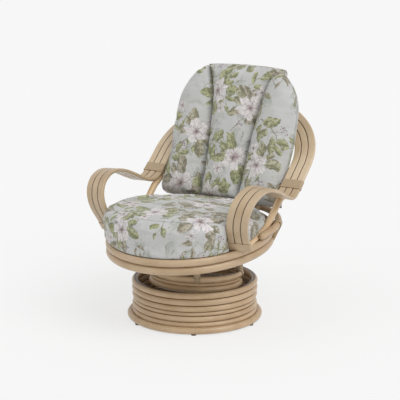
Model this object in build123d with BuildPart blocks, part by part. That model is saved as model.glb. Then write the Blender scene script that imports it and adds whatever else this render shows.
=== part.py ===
"""Swivel rocker of laminated cane, in millimetres.

Origin: on the floor, on the swivel axis. +Z is up, the chair faces -Y, and +X is the sitter's left.
A drum of stacked canes stands on the floor. Inside it a plate turns on a kingpin, and a bracket on
that plate carries the seat on two pivot bolts, so that the seat turns and rocks.
"""
from build123d import *
from math import atan2, cos, degrees, radians, sin, sqrt, tan
import os

# ---------------------------------------------------------------- clearances
GLUE = 0.2            # joint between two canes that are glued or nailed together
FIT = 0.1             # radial play of a bolt or a pin in a plain hole
RUNNING_FIT = 0.05    # radial play of a turning pin
SEAT_GAP = 0.3        # play between plates that turn on each other, and at the springs' ends
CLOTH_GAP = 0.5       # play between a cushion and what it rests on
WRAP_PLAY = 0.5       # play of a woven binding round its canes
TOUCH = 0.3           # gap left at a stop when the seat has rocked as far as it goes

# ---------------------------------------------------------------- drum
DRUM_R = 247.0                                        # centre radius of the drum canes
DRUM_CANES = (25.0, 25.0, 17.0, 25.0, 27.4, 28.0)     # cane thickness, from the floor up
FOOT_RING_R = 266.0                                   # centre radius of the foot ring
FOOT_RING_CANE = 28.0
GLIDE_COUNT = 6
GLIDE_D = 22.0
GLIDE_H = 5.0
GLIDE_PROUD = 3.0        # how far a glide stands below the foot ring
GLIDE_CHAMFER = 1.0
BATTEN_COUNT = 6
BATTEN_W = 30.0
BATTEN_T = 8.0
BATTEN_TOP_GAP = 20.0    # the battens stop this far below the rim of the drum

# ---------------------------------------------------------------- base rails and swivel
BASE_RAIL_W = 40.0
BASE_RAIL_H = 30.0
BASE_RAIL_Y = 70.0
BASE_RAIL_Z = 30.0       # underside of the base rails
PLATE_T = 3.0
LOWER_PLATE = 190.0
UPPER_PLATE_X = 180.0
UPPER_PLATE_Y = 200.0
PLATE_CORNER_R = 12.0
BALL_D = 8.0
BALL_COUNT = 12
BALL_CIRCLE_R = 50.0
KINGPIN_D = 16.0
KINGPIN_HEAD_D = 30.0
KINGPIN_HEAD_H = 5.0
KINGPIN_NUT_PLAY = 1.0   # radial room round the nut in the lower bracket
KINGPIN_NUT_H = 9.0
KINGPIN_TAIL = 4.0       # thread that shows above the nut
PLATE_BOLT_D = 8.0
PLATE_BOLT_X = 70.0
PLATE_BOLT_LENGTH = 24.0
BOLT_HEAD_H = 5.0
BOLT_HEAD_OVER_D = 1.7   # width across a bolt's head as a multiple of its diameter

# ---------------------------------------------------------------- rocker mechanism
PIVOT_Z = 125.0
ROCK_BACK = 12.0         # degrees
ROCK_FORWARD = 6.0       # degrees
BRACKET_T = 4.0
BRACKET_BASE_Y = 60.0
EAR_R = 14.0
LOWER_EAR_X = 75.0       # inner face of the lower bracket's ears
EAR_GAP = 2.0            # space between a lower ear and an upper ear
PIVOT_BOLT_D = 10.0
BUSH_WALL = 2.0
BUSH_FLANGE_R = 10.0
PIVOT_HEAD_H = 6.0
PIVOT_NUT_H = 7.0
UPPER_BRACKET_Y = 85.0   # half the depth of the upper bracket's plate
STOP_D = 22.0
STOP_OUTSIDE = 2.0       # how far a stop's foot reaches past the edge of the upper bracket's plate
STOP_TAPER = 3.0         # degrees
SPRING_R = 14.0
SPRING_WIRE_D = 5.0
SPRING_TURNS = 5
SPRING_X = 42.0
SPRING_Y = 53.0

# ---------------------------------------------------------------- inner ring stack
STACK_R = 182.0
STACK_TILT = 3.8         # degrees, front end higher
STACK_Y = 12.0
STACK_Z = 192.0          # centre of the top cane
STACK_TOP_CANE = 28.0
STACK_THIN_CANE = 14.0
STACK_BOTTOM_CANE = 26.0
INNER_RAIL_W = 40.0
INNER_RAIL_H = 24.0
INNER_RAIL_Y = 55.0
INNER_RAIL_SETBACK = 10.0   # the rails' ends stop this far inside the cane's centre line
BRACKET_SCREW_D = 5.0
BRACKET_SCREW_LENGTH = 20.0

# ---------------------------------------------------------------- seat hoop
HOOP_FRONT_BACK = 355.0  # half the hoop's centre line, front to back
HOOP_SIDE = 319.0        # half the hoop's centre line, side to side
HOOP_END_R = 300.0       # arc round the front and round the back
HOOP_Y = -35.0
HOOP_Z = 358.5
HOOP_TILT = 5.2          # degrees, front end lower
HOOP_CANE = 34.0
SEAT_RAIL_X = 172.0
SEAT_RAIL_CANE = 26.0
POST_CANE = 24.0
FRONT_POST_X = 96.0      # the front posts stand on the ring's top cane and carry a slat
POST_BINDING_T = 2.8
POST_BINDING_W = 24.0
POST_SLEEVE_H = 28.0
SLAT_W = 45.0
SLAT_T = 8.0
SLAT_COUNT = 5
SLAT_PITCH = 108.0

# ---------------------------------------------------------------- back rail
BACK_RAIL_CANE = 28.0
BACK_RAIL_SIDE = 331.0       # centre line, side to side
BACK_RAIL_CORNER_R = 274.0
BACK_RAIL_FRONT = 5.0        # the rail's ends lie this far behind the middle of the hoop
STRAP_T = 3.0
STRAP_W = 26.0
STRAP_ANGLE = 29.0           # degrees behind the middle of the hoop, seen from its centre

# ---------------------------------------------------------------- arms and arch
STRIP_W = 30.0               # pitch of the three strips of a ribbon
STRIP_T = 14.0
STRIP_EDGE_R = 5.0
ARCH_ROOM = 43.0             # from the back cushion's widest line to the middle strip's centre line
ARCH_SHOULDER_R = 270.0
ARCH_CROWN_LIFT = 26.0       # how much higher the crown stands than the shoulders' arcs would reach
ARCH_LEG_TOP = 190.0         # end of the straight legs, measured up the arch's plane
ARCH_START = 88.0            # where the arm ends and the arch begins, on the same scale
ARCH_LEAN = 49.0             # degrees from upright
ARCH_Y = 151.6               # where the arch's plane would start
ARCH_Z = 500.0
BINDING_WALL = 2.0
BINDING_LOW = 67.0           # lower and upper end of the elbow bindings, up the arch's plane
BINDING_HIGH = 108.0
BINDING_LIP = 6.0
BINDING_LIP_WALL = 3.4
FOOT_WRAP_TOP = 391.0        # height of the upper edge of the foot wraps
SIDE_POST_CANE = 28.0
BACKING_INSET = 28.0         # the backing cane runs this far inside the middle strip

# Middle of the upper face of the left arm's ribbon, from its foot to the elbow: x, y, z, then the
# turn of the ribbon's width away from the X axis, and its outward tilt, both in degrees.
ARM_STATIONS = (
    (311.5, -167.0, 356.0, 24.0, 10.0),
    (313.0, -190.0, 395.0, 19.0, 12.0),
    (322.0, -222.0, 450.0, 14.0, 13.0),
    (333.0, -235.0, 503.0, 9.0, 13.0),
    (342.0, -222.0, 550.0, 4.0, 12.0),
    (349.0, -183.0, 586.0, 1.0, 9.0),
    (353.0, -124.0, 604.0, 0.0, 6.0),
    (354.0, -50.0, 597.0, 0.0, 4.0),
    (350.0, 30.0, 568.0, 0.0, 3.0),
    (343.0, 100.0, 537.0, 0.0, 2.0),
    (336.5, 160.0, 524.0, 0.0, 1.0),
)
ELBOW_STEPS = (60.0, 74.0)   # more stations, up the arch's plane, before the arm ends

# Corners of the left side post's centre line, before it reaches the arch's back.
POST_CORNERS = ((310.0, -104.0, 364.0), (300.0, 78.0, 411.0), (301.5, 166.0, 490.0), (303.5, 213.0, 512.0))
POST_BEND_RADII = (170.0, 60.0, 60.0)

# ---------------------------------------------------------------- back frame
BACK_LEAN = 21.0             # degrees from upright
BACK_FRAME_CANE = 30.0
BACK_FRAME_X = 150.0
BACK_FRAME_TOP = 604.0       # up the leaning plane, from the hoop
BACK_FRAME_FOOT = -40.0
BACK_FRAME_CORNER_R = 60.0
CROSSBAR_CANE = 18.0
CROSSBARS = (-4.0, 110.0, 230.0, 350.0, 470.0)
TIE_CANE = 22.0

# ---------------------------------------------------------------- cushions
SEAT_R = 329.0
SEAT_Y = -83.0
SEAT_MID_Z = 447.0           # height of the widest level
SEAT_TOP_TILT = 3.2          # degrees, front end higher
SEAT_CROWN = 50.0            # from the widest level to the top
SEAT_SKIRT = 140.0           # from the widest level to the lowest point of the edge's profile
SEAT_TOP_FLAT_R = 235.0
SEAT_FOOT_R = 308.0          # radius of the edge's profile at its lowest point
SEAT_FOOT_LEAN = 0.15        # how much the edge's profile leans in at its lowest point, per unit of drop
SEAT_PLUG_R = 280.0          # part that sits inside the hoop
BACK_SEAM_D = 62.0           # depth of the two seams in front of the frame's centre plane
BACK_CREST_D = 99.0          # depth of the channels' crests
BACK_SIDE_D = 48.0           # depth of the side edges
BACK_SEAM_X = 100.0
BACK_HALF = 290.0
BACK_REAR_HALF = 262.0
BACK_LOW = 58.0              # lower edge, up the leaning plane
BACK_LOW_HALF = 240.0
BACK_WAIST = 254.0           # where the sides become straight, and where they start to lean in
BACK_SHOULDER = 460.0
BACK_LOW_BULGE = (278.0, 169.0)      # points that the lower and upper side curves pass through
BACK_SHOULDER_BULGE = (252.0, 550.0)
BACK_TOP_Z = 1002.0          # height of the cushion's top
BACK_TOP = 640.0
BACK_TOP_HALF = 165.0
HOOD_T = 9.0
HOOD_DROP = 95.0             # how far the hood's flap hangs down behind the frame

os.makedirs("parts", exist_ok=True)


def keep(piece, node):
    """Label a finished piece and write it."""
    piece.part.label = node
    export_step(piece.part, f"parts/{node}.step")


# ================================================================ base: the drum
def drum_levels():
    """Centre height and radius of each drum cane, from the floor up."""
    first = FOOT_RING_CANE / 2 + GLIDE_PROUD + foot_ring_rise()
    bottom = first - DRUM_CANES[0] / 2
    levels = []
    for cane in DRUM_CANES:
        levels.append((bottom + cane / 2, (cane - GLUE) / 2))
        bottom += cane
    return levels, bottom


def foot_ring_rise():
    """Height of the lowest drum cane's centre over the foot ring's centre, where the two touch."""
    reach = (FOOT_RING_CANE + DRUM_CANES[0]) / 2
    return sqrt(reach ** 2 - (FOOT_RING_R - DRUM_R) ** 2)


DRUM_LEVELS, DRUM_TOP = drum_levels()
FOOT_RING_Z = GLIDE_PROUD + FOOT_RING_CANE / 2
DRUM_INSIDE_R = DRUM_R - max(DRUM_CANES) / 2

with BuildPart(Plane.XY.offset(FOOT_RING_Z)) as foot_ring:
    Torus(FOOT_RING_R, FOOT_RING_CANE / 2)
    with BuildSketch(Plane.XY):
        with PolarLocations(FOOT_RING_R, GLIDE_COUNT):
            Circle(GLIDE_D / 2 + GLUE)
    extrude(amount=GLIDE_H + GLUE, mode=Mode.SUBTRACT)
keep(foot_ring, "base_foot_ring")

with BuildPart() as glides:
    with BuildSketch(Plane.XY):
        with PolarLocations(FOOT_RING_R, GLIDE_COUNT):
            Circle(GLIDE_D / 2)
    extrude(amount=GLIDE_H)
    chamfer(glides.edges().group_by(Axis.Z)[0], GLIDE_CHAMFER)
keep(glides, "base_glides")

for number, (level, half_cane) in enumerate(DRUM_LEVELS, start=1):
    with BuildPart(Plane.XY.offset(level)) as drum_ring:
        Torus(DRUM_R, half_cane)
    keep(drum_ring, f"drum_ring_{number}")

BATTEN_BOTTOM = DRUM_LEVELS[0][0]
BATTEN_OUTER_R = DRUM_INSIDE_R - GLUE
with BuildPart() as battens:
    with BuildSketch(Plane.XY.offset(BATTEN_BOTTOM)):
        with PolarLocations(BATTEN_OUTER_R, BATTEN_COUNT, start_angle=180 / BATTEN_COUNT):
            Rectangle(3 * BATTEN_T, BATTEN_W)
        Circle(BATTEN_OUTER_R, mode=Mode.INTERSECT)
        Circle(BATTEN_OUTER_R - BATTEN_T, mode=Mode.SUBTRACT)
    extrude(amount=DRUM_TOP - BATTEN_TOP_GAP - BATTEN_BOTTOM)
keep(battens, "drum_battens")

# ================================================================ base: rails, plate, kingpin
BASE_RAIL_TOP = BASE_RAIL_Z + BASE_RAIL_H
LOWER_PLATE_TOP = BASE_RAIL_TOP + PLATE_T
BALL_GAP = BALL_D + 2 * SEAT_GAP
UPPER_PLATE_BOTTOM = LOWER_PLATE_TOP + BALL_GAP
UPPER_PLATE_TOP = UPPER_PLATE_BOTTOM + PLATE_T
KINGPIN_NUT_Z = UPPER_PLATE_TOP + SEAT_GAP
PLATE_BOLT_HEAD_R = PLATE_BOLT_D * BOLT_HEAD_OVER_D / 2
PLATE_BOLT_PLACES = GridLocations(2 * PLATE_BOLT_X, 2 * BASE_RAIL_Y, 2, 2)

with BuildPart() as base_rails:
    with BuildSketch(Plane.XY.offset(BASE_RAIL_Z)):
        with GridLocations(0, 2 * BASE_RAIL_Y, 1, 2):
            Rectangle(2 * DRUM_R, BASE_RAIL_W)
        Circle(DRUM_R - DRUM_CANES[0] / 2, mode=Mode.INTERSECT)
    extrude(amount=BASE_RAIL_H)
    with BuildSketch(Plane.XY.offset(BASE_RAIL_TOP)):
        with PLATE_BOLT_PLACES:
            Circle(PLATE_BOLT_D / 2 + FIT)
    extrude(amount=-PLATE_BOLT_LENGTH, mode=Mode.SUBTRACT)
keep(base_rails, "base_cross_rails")

with BuildPart() as lower_plate:
    with BuildSketch(Plane.XY.offset(BASE_RAIL_TOP)):
        RectangleRounded(LOWER_PLATE, LOWER_PLATE, PLATE_CORNER_R)
        Circle(KINGPIN_D / 2 + FIT, mode=Mode.SUBTRACT)
        with PLATE_BOLT_PLACES:
            Circle(PLATE_BOLT_D / 2 + FIT, mode=Mode.SUBTRACT)
    extrude(amount=PLATE_T)
keep(lower_plate, "swivel_lower_plate")

with BuildPart() as plate_bolts:
    with BuildSketch(Plane.XY.offset(LOWER_PLATE_TOP)):
        with PLATE_BOLT_PLACES:
            RegularPolygon(PLATE_BOLT_HEAD_R, 6)
    extrude(amount=BOLT_HEAD_H)
    with BuildSketch(Plane.XY.offset(LOWER_PLATE_TOP)):
        with PLATE_BOLT_PLACES:
            Circle(PLATE_BOLT_D / 2)
    extrude(amount=FIT - PLATE_BOLT_LENGTH)
keep(plate_bolts, "plate_bolts")

with BuildPart(Plane.XY.offset(LOWER_PLATE_TOP + BALL_GAP / 2)) as balls:
    with PolarLocations(BALL_CIRCLE_R, BALL_COUNT):
        Sphere(BALL_D / 2)
keep(balls, "bearing_balls")

with BuildPart() as kingpin:
    with BuildSketch(Plane.XY.offset(BASE_RAIL_TOP - KINGPIN_HEAD_H)):
        Circle(KINGPIN_HEAD_D / 2)
    extrude(amount=KINGPIN_HEAD_H)
    with BuildSketch(Plane.XY.offset(BASE_RAIL_TOP)):
        Circle(KINGPIN_D / 2)
    extrude(amount=KINGPIN_NUT_Z + KINGPIN_NUT_H + KINGPIN_TAIL - BASE_RAIL_TOP)
    with BuildSketch(Plane.XY.offset(KINGPIN_NUT_Z)):
        RegularPolygon(KINGPIN_HEAD_D / 2, 6)
        Circle(KINGPIN_D / 2 + FIT, mode=Mode.SUBTRACT)
    extrude(amount=KINGPIN_NUT_H)
keep(kingpin, "kingpin")

# ================================================================ swivel: plate and lower bracket
UPPER_EAR_OUTER_X = LOWER_EAR_X - EAR_GAP
UPPER_EAR_INNER_X = UPPER_EAR_OUTER_X - BRACKET_T
BUSH_BORE_R = PIVOT_BOLT_D / 2 + RUNNING_FIT
BUSH_OUTER_R = BUSH_BORE_R + BUSH_WALL
BRACKET_FLOOR = UPPER_PLATE_TOP + GLUE
BRACKET_HALF_X = LOWER_EAR_X + BRACKET_T

with BuildPart() as upper_plate:
    with BuildSketch(Plane.XY.offset(UPPER_PLATE_BOTTOM)):
        RectangleRounded(UPPER_PLATE_X, UPPER_PLATE_Y, PLATE_CORNER_R)
        Circle(KINGPIN_D / 2 + RUNNING_FIT, mode=Mode.SUBTRACT)
    extrude(amount=PLATE_T)
keep(upper_plate, "swivel_upper_plate")

with BuildPart() as lower_bracket:
    with BuildSketch(Plane.XY.offset(BRACKET_FLOOR)):
        Rectangle(2 * BRACKET_HALF_X, BRACKET_BASE_Y)
        Circle(KINGPIN_HEAD_D / 2 + KINGPIN_NUT_PLAY, mode=Mode.SUBTRACT)
    extrude(amount=BRACKET_T)
    with BuildSketch(Plane.YZ.offset(LOWER_EAR_X)):
        with BuildLine():
            Polyline((-EAR_R, PIVOT_Z), (-BRACKET_BASE_Y / 2, BRACKET_FLOOR))
            Line((-BRACKET_BASE_Y / 2, BRACKET_FLOOR), (BRACKET_BASE_Y / 2, BRACKET_FLOOR))
            Line((BRACKET_BASE_Y / 2, BRACKET_FLOOR), (EAR_R, PIVOT_Z))
            CenterArc((0, PIVOT_Z), EAR_R, 0, 180)
        make_face()
        with Locations((0, PIVOT_Z)):
            Circle(PIVOT_BOLT_D / 2 + FIT, mode=Mode.SUBTRACT)
    extrude(amount=BRACKET_T)
    mirror(about=Plane.YZ)
keep(lower_bracket, "rocker_bracket_lower")

with BuildPart() as pivot_bolts:
    with BuildSketch(Plane.YZ.offset(BRACKET_HALF_X)):
        with Locations((0, PIVOT_Z)):
            RegularPolygon(PIVOT_BOLT_D * BOLT_HEAD_OVER_D / 2, 6)
    extrude(amount=PIVOT_HEAD_H)
    with BuildSketch(Plane.YZ.offset(BRACKET_HALF_X)):
        with Locations((0, PIVOT_Z)):
            Circle(PIVOT_BOLT_D / 2)
    extrude(amount=UPPER_EAR_INNER_X - SEAT_GAP - PIVOT_NUT_H - BRACKET_HALF_X)
    with BuildSketch(Plane.YZ.offset(UPPER_EAR_INNER_X - SEAT_GAP)):
        with Locations((0, PIVOT_Z)):
            RegularPolygon(PIVOT_BOLT_D * BOLT_HEAD_OVER_D / 2, 6)
            Circle(PIVOT_BOLT_D / 2 + FIT, mode=Mode.SUBTRACT)
    extrude(amount=-PIVOT_NUT_H)
    mirror(about=Plane.YZ)
keep(pivot_bolts, "pivot_bolts")

# ================================================================ planes that tilt
def tilted(y, z, tilt):
    """Plane through (0, y, z) that keeps X and is tilted about it, front end down for a plus tilt."""
    lean = radians(tilt)
    return Plane(origin=(0, y, z), x_dir=(1, 0, 0), z_dir=(0, -sin(lean), cos(lean)))


STACK = tilted(STACK_Y, STACK_Z, -STACK_TILT)
STACK_THIN_DROP = (STACK_TOP_CANE + STACK_THIN_CANE) / 2 + GLUE
STACK_BOTTOM_DROP = STACK_THIN_DROP + (STACK_THIN_CANE + STACK_BOTTOM_CANE) / 2 + GLUE
BRACKET_TOP_DROP = STACK_BOTTOM_DROP + INNER_RAIL_H / 2
BRACKET_BOTTOM_DROP = BRACKET_TOP_DROP + PLATE_T


def bracket_bottom(y):
    """Height of the underside of the upper bracket's plate at a distance behind the swivel axis."""
    under = STACK.from_local_coords((0, 0, -BRACKET_BOTTOM_DROP))
    return under.Z - (y - under.Y) * tan(radians(STACK_TILT))


# ================================================================ swivel: stops and springs
def stop_height(side, turn):
    """Height of the bracket plate's edge once it has turned: side is -1 in front, +1 behind."""
    edge_y = side * UPPER_BRACKET_Y
    rise = bracket_bottom(edge_y) - PIVOT_Z
    return PIVOT_Z + rise * cos(radians(turn)) - UPPER_BRACKET_Y * sin(radians(turn))


STOP_Y = UPPER_BRACKET_Y - STOP_D / 2 + STOP_OUTSIDE
with BuildPart() as stops:
    for side, turn in ((-1, ROCK_FORWARD), (1, ROCK_BACK)):
        with BuildSketch(Plane.XY.offset(UPPER_PLATE_TOP)):
            with Locations((0, side * STOP_Y)):
                Circle(STOP_D / 2)
        extrude(amount=stop_height(side, turn) - TOUCH - UPPER_PLATE_TOP, taper=STOP_TAPER)
keep(stops, "stop_rubbers")


def coil_spring(x, y):
    """Spring between the swivel plate and the upper bracket, with its two ends at the plates."""
    low = UPPER_PLATE_TOP + SPRING_WIRE_D / 2 + SEAT_GAP
    high = bracket_bottom(y + SPRING_R) - SPRING_WIRE_D / 2 - SEAT_GAP
    pitch = (high - low) / SPRING_TURNS
    with BuildPart() as coil:
        with BuildLine() as turns:
            Helix(pitch, high - low, SPRING_R, center=(x, y, low))
        with BuildSketch(turns.line ^ 0):
            Circle(SPRING_WIRE_D / 2)
        sweep(path=turns.line, is_frenet=True)
    return coil.part


with BuildPart() as springs:
    for x in (-SPRING_X, SPRING_X):
        for y in (-SPRING_Y, SPRING_Y):
            add(coil_spring(x, y))
keep(springs, "rocker_springs")

# ================================================================ rocker: upper bracket, bushes
SCREW_PLACES = GridLocations(2 * (UPPER_EAR_INNER_X - EAR_R), 2 * INNER_RAIL_Y, 2, 2)
EAR_ROOT_Y = 2 * EAR_R


def upper_ear(x):
    """Ear of the upper bracket, from its plate down round the pivot, starting at x."""
    front_root = (-EAR_ROOT_Y, bracket_bottom(-EAR_ROOT_Y) + PLATE_T / 2)
    rear_root = (EAR_ROOT_Y, bracket_bottom(EAR_ROOT_Y) + PLATE_T / 2)
    with BuildPart() as ear:
        with BuildSketch(Plane.YZ.offset(x)):
            with BuildLine():
                Polyline((-EAR_R, PIVOT_Z), front_root, rear_root, (EAR_R, PIVOT_Z))
                CenterArc((0, PIVOT_Z), EAR_R, 180, 180)
            make_face()
            with Locations((0, PIVOT_Z)):
                Circle(BUSH_OUTER_R + FIT, mode=Mode.SUBTRACT)
        extrude(amount=BRACKET_T)
    return ear.part


with BuildPart() as upper_bracket:
    with BuildSketch(STACK.offset(-BRACKET_BOTTOM_DROP)):
        with Locations((0, -STACK_Y)):
            Rectangle(2 * UPPER_EAR_OUTER_X, 2 * UPPER_BRACKET_Y)
    extrude(amount=PLATE_T)
    add(upper_ear(UPPER_EAR_INNER_X))
    add(upper_ear(-UPPER_EAR_OUTER_X))
    with BuildSketch(STACK.offset(-BRACKET_BOTTOM_DROP)):
        with Locations((0, -STACK_Y)):
            with SCREW_PLACES:
                Circle(BRACKET_SCREW_D / 2 + FIT)
    extrude(amount=PLATE_T, mode=Mode.SUBTRACT)
keep(upper_bracket, "rocker_bracket_upper")

with BuildPart() as bushes:
    with BuildSketch(Plane.YZ.offset(UPPER_EAR_INNER_X)):
        with Locations((0, PIVOT_Z)):
            Circle(BUSH_OUTER_R)
            Circle(BUSH_BORE_R, mode=Mode.SUBTRACT)
    extrude(amount=BRACKET_T)
    with BuildSketch(Plane.YZ.offset(UPPER_EAR_OUTER_X)):
        with Locations((0, PIVOT_Z)):
            Circle(BUSH_FLANGE_R)
            Circle(BUSH_BORE_R, mode=Mode.SUBTRACT)
    extrude(amount=EAR_GAP - SEAT_GAP)
    mirror(about=Plane.YZ)
keep(bushes, "pivot_bushes")

# ================================================================ rocker: inner ring stack
with BuildPart(STACK) as ring_top:
    Torus(STACK_R, STACK_TOP_CANE / 2)
keep(ring_top, "inner_ring_top")

with BuildPart(STACK.offset(-STACK_THIN_DROP)) as ring_thin:
    Torus(STACK_R, STACK_THIN_CANE / 2)
keep(ring_thin, "inner_ring_thin")

with BuildPart(STACK.offset(-STACK_BOTTOM_DROP)) as ring_bottom:
    Torus(STACK_R, STACK_BOTTOM_CANE / 2)
keep(ring_bottom, "inner_ring_bottom")

INNER_RAIL_BASE = STACK.offset(GLUE - BRACKET_TOP_DROP)
with BuildPart() as inner_rails:
    with BuildSketch(INNER_RAIL_BASE):
        with Locations((0, -STACK_Y)):
            with GridLocations(0, 2 * INNER_RAIL_Y, 1, 2):
                Rectangle(2 * STACK_R, INNER_RAIL_W)
        Circle(STACK_R - INNER_RAIL_SETBACK, mode=Mode.INTERSECT)
    extrude(amount=INNER_RAIL_H - GLUE)
    with BuildSketch(INNER_RAIL_BASE):
        with Locations((0, -STACK_Y)):
            with SCREW_PLACES:
                Circle(BRACKET_SCREW_D / 2 + FIT)
    extrude(amount=BRACKET_SCREW_LENGTH, mode=Mode.SUBTRACT)
    with Locations(STACK.offset(-STACK_BOTTOM_DROP)):
        Torus(STACK_R, STACK_BOTTOM_CANE / 2 + GLUE, mode=Mode.SUBTRACT)
keep(inner_rails, "inner_cross_rails")

with BuildPart() as bracket_screws:
    with BuildSketch(STACK.offset(-BRACKET_BOTTOM_DROP)):
        with Locations((0, -STACK_Y)):
            with SCREW_PLACES:
                Circle(BRACKET_SCREW_D * BOLT_HEAD_OVER_D / 2)
    extrude(amount=-BRACKET_SCREW_D / 2)
    with BuildSketch(STACK.offset(-BRACKET_BOTTOM_DROP)):
        with Locations((0, -STACK_Y)):
            with SCREW_PLACES:
                Circle(BRACKET_SCREW_D / 2)
    extrude(amount=BRACKET_SCREW_LENGTH - FIT)
keep(bracket_screws, "bracket_screws")

# ================================================================ rocker: seat hoop
HOOP = tilted(HOOP_Y, HOOP_Z, HOOP_TILT)
HOOP_R = HOOP_CANE / 2
HOOP_LOWER_DROP = HOOP_CANE + GLUE
HOOP_END_OFF = HOOP_FRONT_BACK - HOOP_END_R


def side_radius(half_long, half_short, end_r):
    """Radius of the side arcs of a four-arc oval, so that they run smoothly into its end arcs."""
    end_off = half_long - end_r
    return (end_off ** 2 + half_short ** 2 - end_r ** 2) / (2 * (half_short - end_r))


def oval(offset=0.0):
    """Four-arc oval of the hoop in the plane in use, grown by an offset."""
    side_r = side_radius(HOOP_FRONT_BACK, HOOP_SIDE, HOOP_END_R)
    side_off = side_r - HOOP_SIDE
    turn = degrees(atan2(HOOP_END_OFF, side_off))
    CenterArc((-side_off, 0), side_r + offset, -turn, 2 * turn)
    CenterArc((0, HOOP_END_OFF), HOOP_END_R + offset, turn, 180 - 2 * turn)
    CenterArc((side_off, 0), side_r + offset, 180 - turn, 2 * turn)
    CenterArc((0, -HOOP_END_OFF), HOOP_END_R + offset, 180 + turn, 180 - 2 * turn)


def hoop_pole(plane, radius):
    """Cane of the hoop's oval in a plane."""
    with BuildPart() as pole:
        with BuildLine(plane) as track:
            oval()
        with BuildSketch(Plane(origin=track.wire() @ 0, z_dir=track.wire() % 0)):
            Circle(radius)
        sweep(path=track.wire())
    return pole.part


LOWER_HOOP = HOOP.offset(-HOOP_LOWER_DROP)
UPPER_CUTTER = hoop_pole(HOOP, HOOP_R + GLUE)
LOWER_CUTTER = hoop_pole(LOWER_HOOP, HOOP_R + GLUE)

with BuildPart() as hoop_upper:
    add(hoop_pole(HOOP, HOOP_R))
keep(hoop_upper, "hoop_upper")

with BuildPart() as hoop_lower:
    add(hoop_pole(LOWER_HOOP, HOOP_R))
keep(hoop_lower, "hoop_lower")

with BuildPart() as seat_rails:
    rail_half = HOOP_FRONT_BACK - HOOP_CANE
    with BuildSketch(Plane(origin=LOWER_HOOP.from_local_coords((0, -rail_half, 0)), x_dir=(1, 0, 0),
                           z_dir=LOWER_HOOP.y_dir)):
        with GridLocations(2 * SEAT_RAIL_X, 0, 2, 1):
            Circle(SEAT_RAIL_CANE / 2)
    extrude(amount=2 * rail_half)
    add(LOWER_CUTTER, mode=Mode.SUBTRACT)
    with BuildSketch(LOWER_HOOP.offset(-HOOP_CANE)):
        with BuildLine():
            oval()
        make_face()
    extrude(amount=2 * HOOP_CANE, mode=Mode.INTERSECT)
keep(seat_rails, "seat_rails")

# ---- posts on the ring stack: two under the seat rails, two under a slat, and what binds them
SLAT_DROP = HOOP_LOWER_DROP - SEAT_RAIL_CANE / 2 - GLUE
SLAT_BOTTOM = HOOP.offset(-SLAT_DROP)
REAR_POST_Y = sqrt(STACK_R ** 2 - SEAT_RAIL_X ** 2)
FRONT_POST_Y = -sqrt(STACK_R ** 2 - FRONT_POST_X ** 2)
REAR_POSTS = ((SEAT_RAIL_X, REAR_POST_Y), (-SEAT_RAIL_X, REAR_POST_Y))
FRONT_POSTS = ((FRONT_POST_X, FRONT_POST_Y), (-FRONT_POST_X, FRONT_POST_Y))
RAIL_CUTTERS = []
for x in (-SEAT_RAIL_X, SEAT_RAIL_X):
    with BuildPart() as rail_cutter:
        with BuildSketch(Plane(origin=LOWER_HOOP.from_local_coords((x, -rail_half, 0)), x_dir=(1, 0, 0),
                               z_dir=LOWER_HOOP.y_dir)):
            Circle(SEAT_RAIL_CANE / 2 + GLUE)
        extrude(amount=2 * rail_half)
    RAIL_CUTTERS.append(rail_cutter.part)


def posts_below(places, top):
    """Posts at places on the ring's top cane, up to a plane."""
    with BuildPart() as columns:
        with BuildSketch(Plane.XY.offset(STACK_Z - STACK_TOP_CANE)):
            with Locations((0, STACK_Y)):
                with Locations(*places):
                    Circle(POST_CANE / 2)
        extrude(amount=HOOP_Z - STACK_Z)
        with Locations(STACK):
            Torus(STACK_R, STACK_TOP_CANE / 2 + GLUE, mode=Mode.SUBTRACT)
        with BuildSketch(STACK):
            Circle(2 * STACK_R)
        extrude(amount=-2 * STACK_TOP_CANE, mode=Mode.SUBTRACT)
        with BuildSketch(top):
            Rectangle(2 * HOOP_SIDE, 2 * HOOP_FRONT_BACK)
        extrude(amount=HOOP_CANE, mode=Mode.SUBTRACT)
    return columns.part


with BuildPart() as posts:
    add(posts_below(REAR_POSTS, LOWER_HOOP))
    add(RAIL_CUTTERS, mode=Mode.SUBTRACT)
    add(posts_below(FRONT_POSTS, SLAT_BOTTOM.offset(-GLUE)))
keep(posts, "seat_posts")

POST_BINDING_R = STACK_TOP_CANE / 2 + GLUE
POST_SLEEVE_R = POST_CANE / 2 + GLUE
BINDING_SPAN = degrees(POST_BINDING_W / STACK_R)
with BuildPart() as post_bindings:
    for x, y in (*REAR_POSTS, *FRONT_POSTS):
        first = degrees(atan2(y, x)) - BINDING_SPAN / 2
        with Locations(STACK.location * Location((0, 0, 0), (0, 0, first))):
            Torus(STACK_R, POST_BINDING_R + POST_BINDING_T, major_angle=BINDING_SPAN, align=None)
    with Locations(STACK):
        Torus(STACK_R, POST_BINDING_R, mode=Mode.SUBTRACT)
    with Locations(STACK.offset(-STACK_THIN_DROP)):
        Torus(STACK_R, STACK_THIN_CANE / 2 + GLUE, mode=Mode.SUBTRACT)
    with BuildSketch(Plane.XY.offset(STACK_Z - STACK_TOP_CANE)):
        with Locations((0, STACK_Y)):
            with Locations(*REAR_POSTS, *FRONT_POSTS):
                Circle(POST_SLEEVE_R)
    extrude(amount=3 * STACK_TOP_CANE, mode=Mode.SUBTRACT)
with BuildPart() as post_sleeves:
    with BuildSketch(Plane.XY.offset(STACK_Z)):
        with Locations((0, STACK_Y)):
            with Locations(*REAR_POSTS, *FRONT_POSTS):
                Circle(POST_SLEEVE_R + POST_BINDING_T)
                Circle(POST_SLEEVE_R, mode=Mode.SUBTRACT)
    extrude(amount=STACK_TOP_CANE / 2 + POST_SLEEVE_H)
    with Locations(STACK):
        Torus(STACK_R, POST_BINDING_R + POST_BINDING_T + GLUE, mode=Mode.SUBTRACT)
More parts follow.
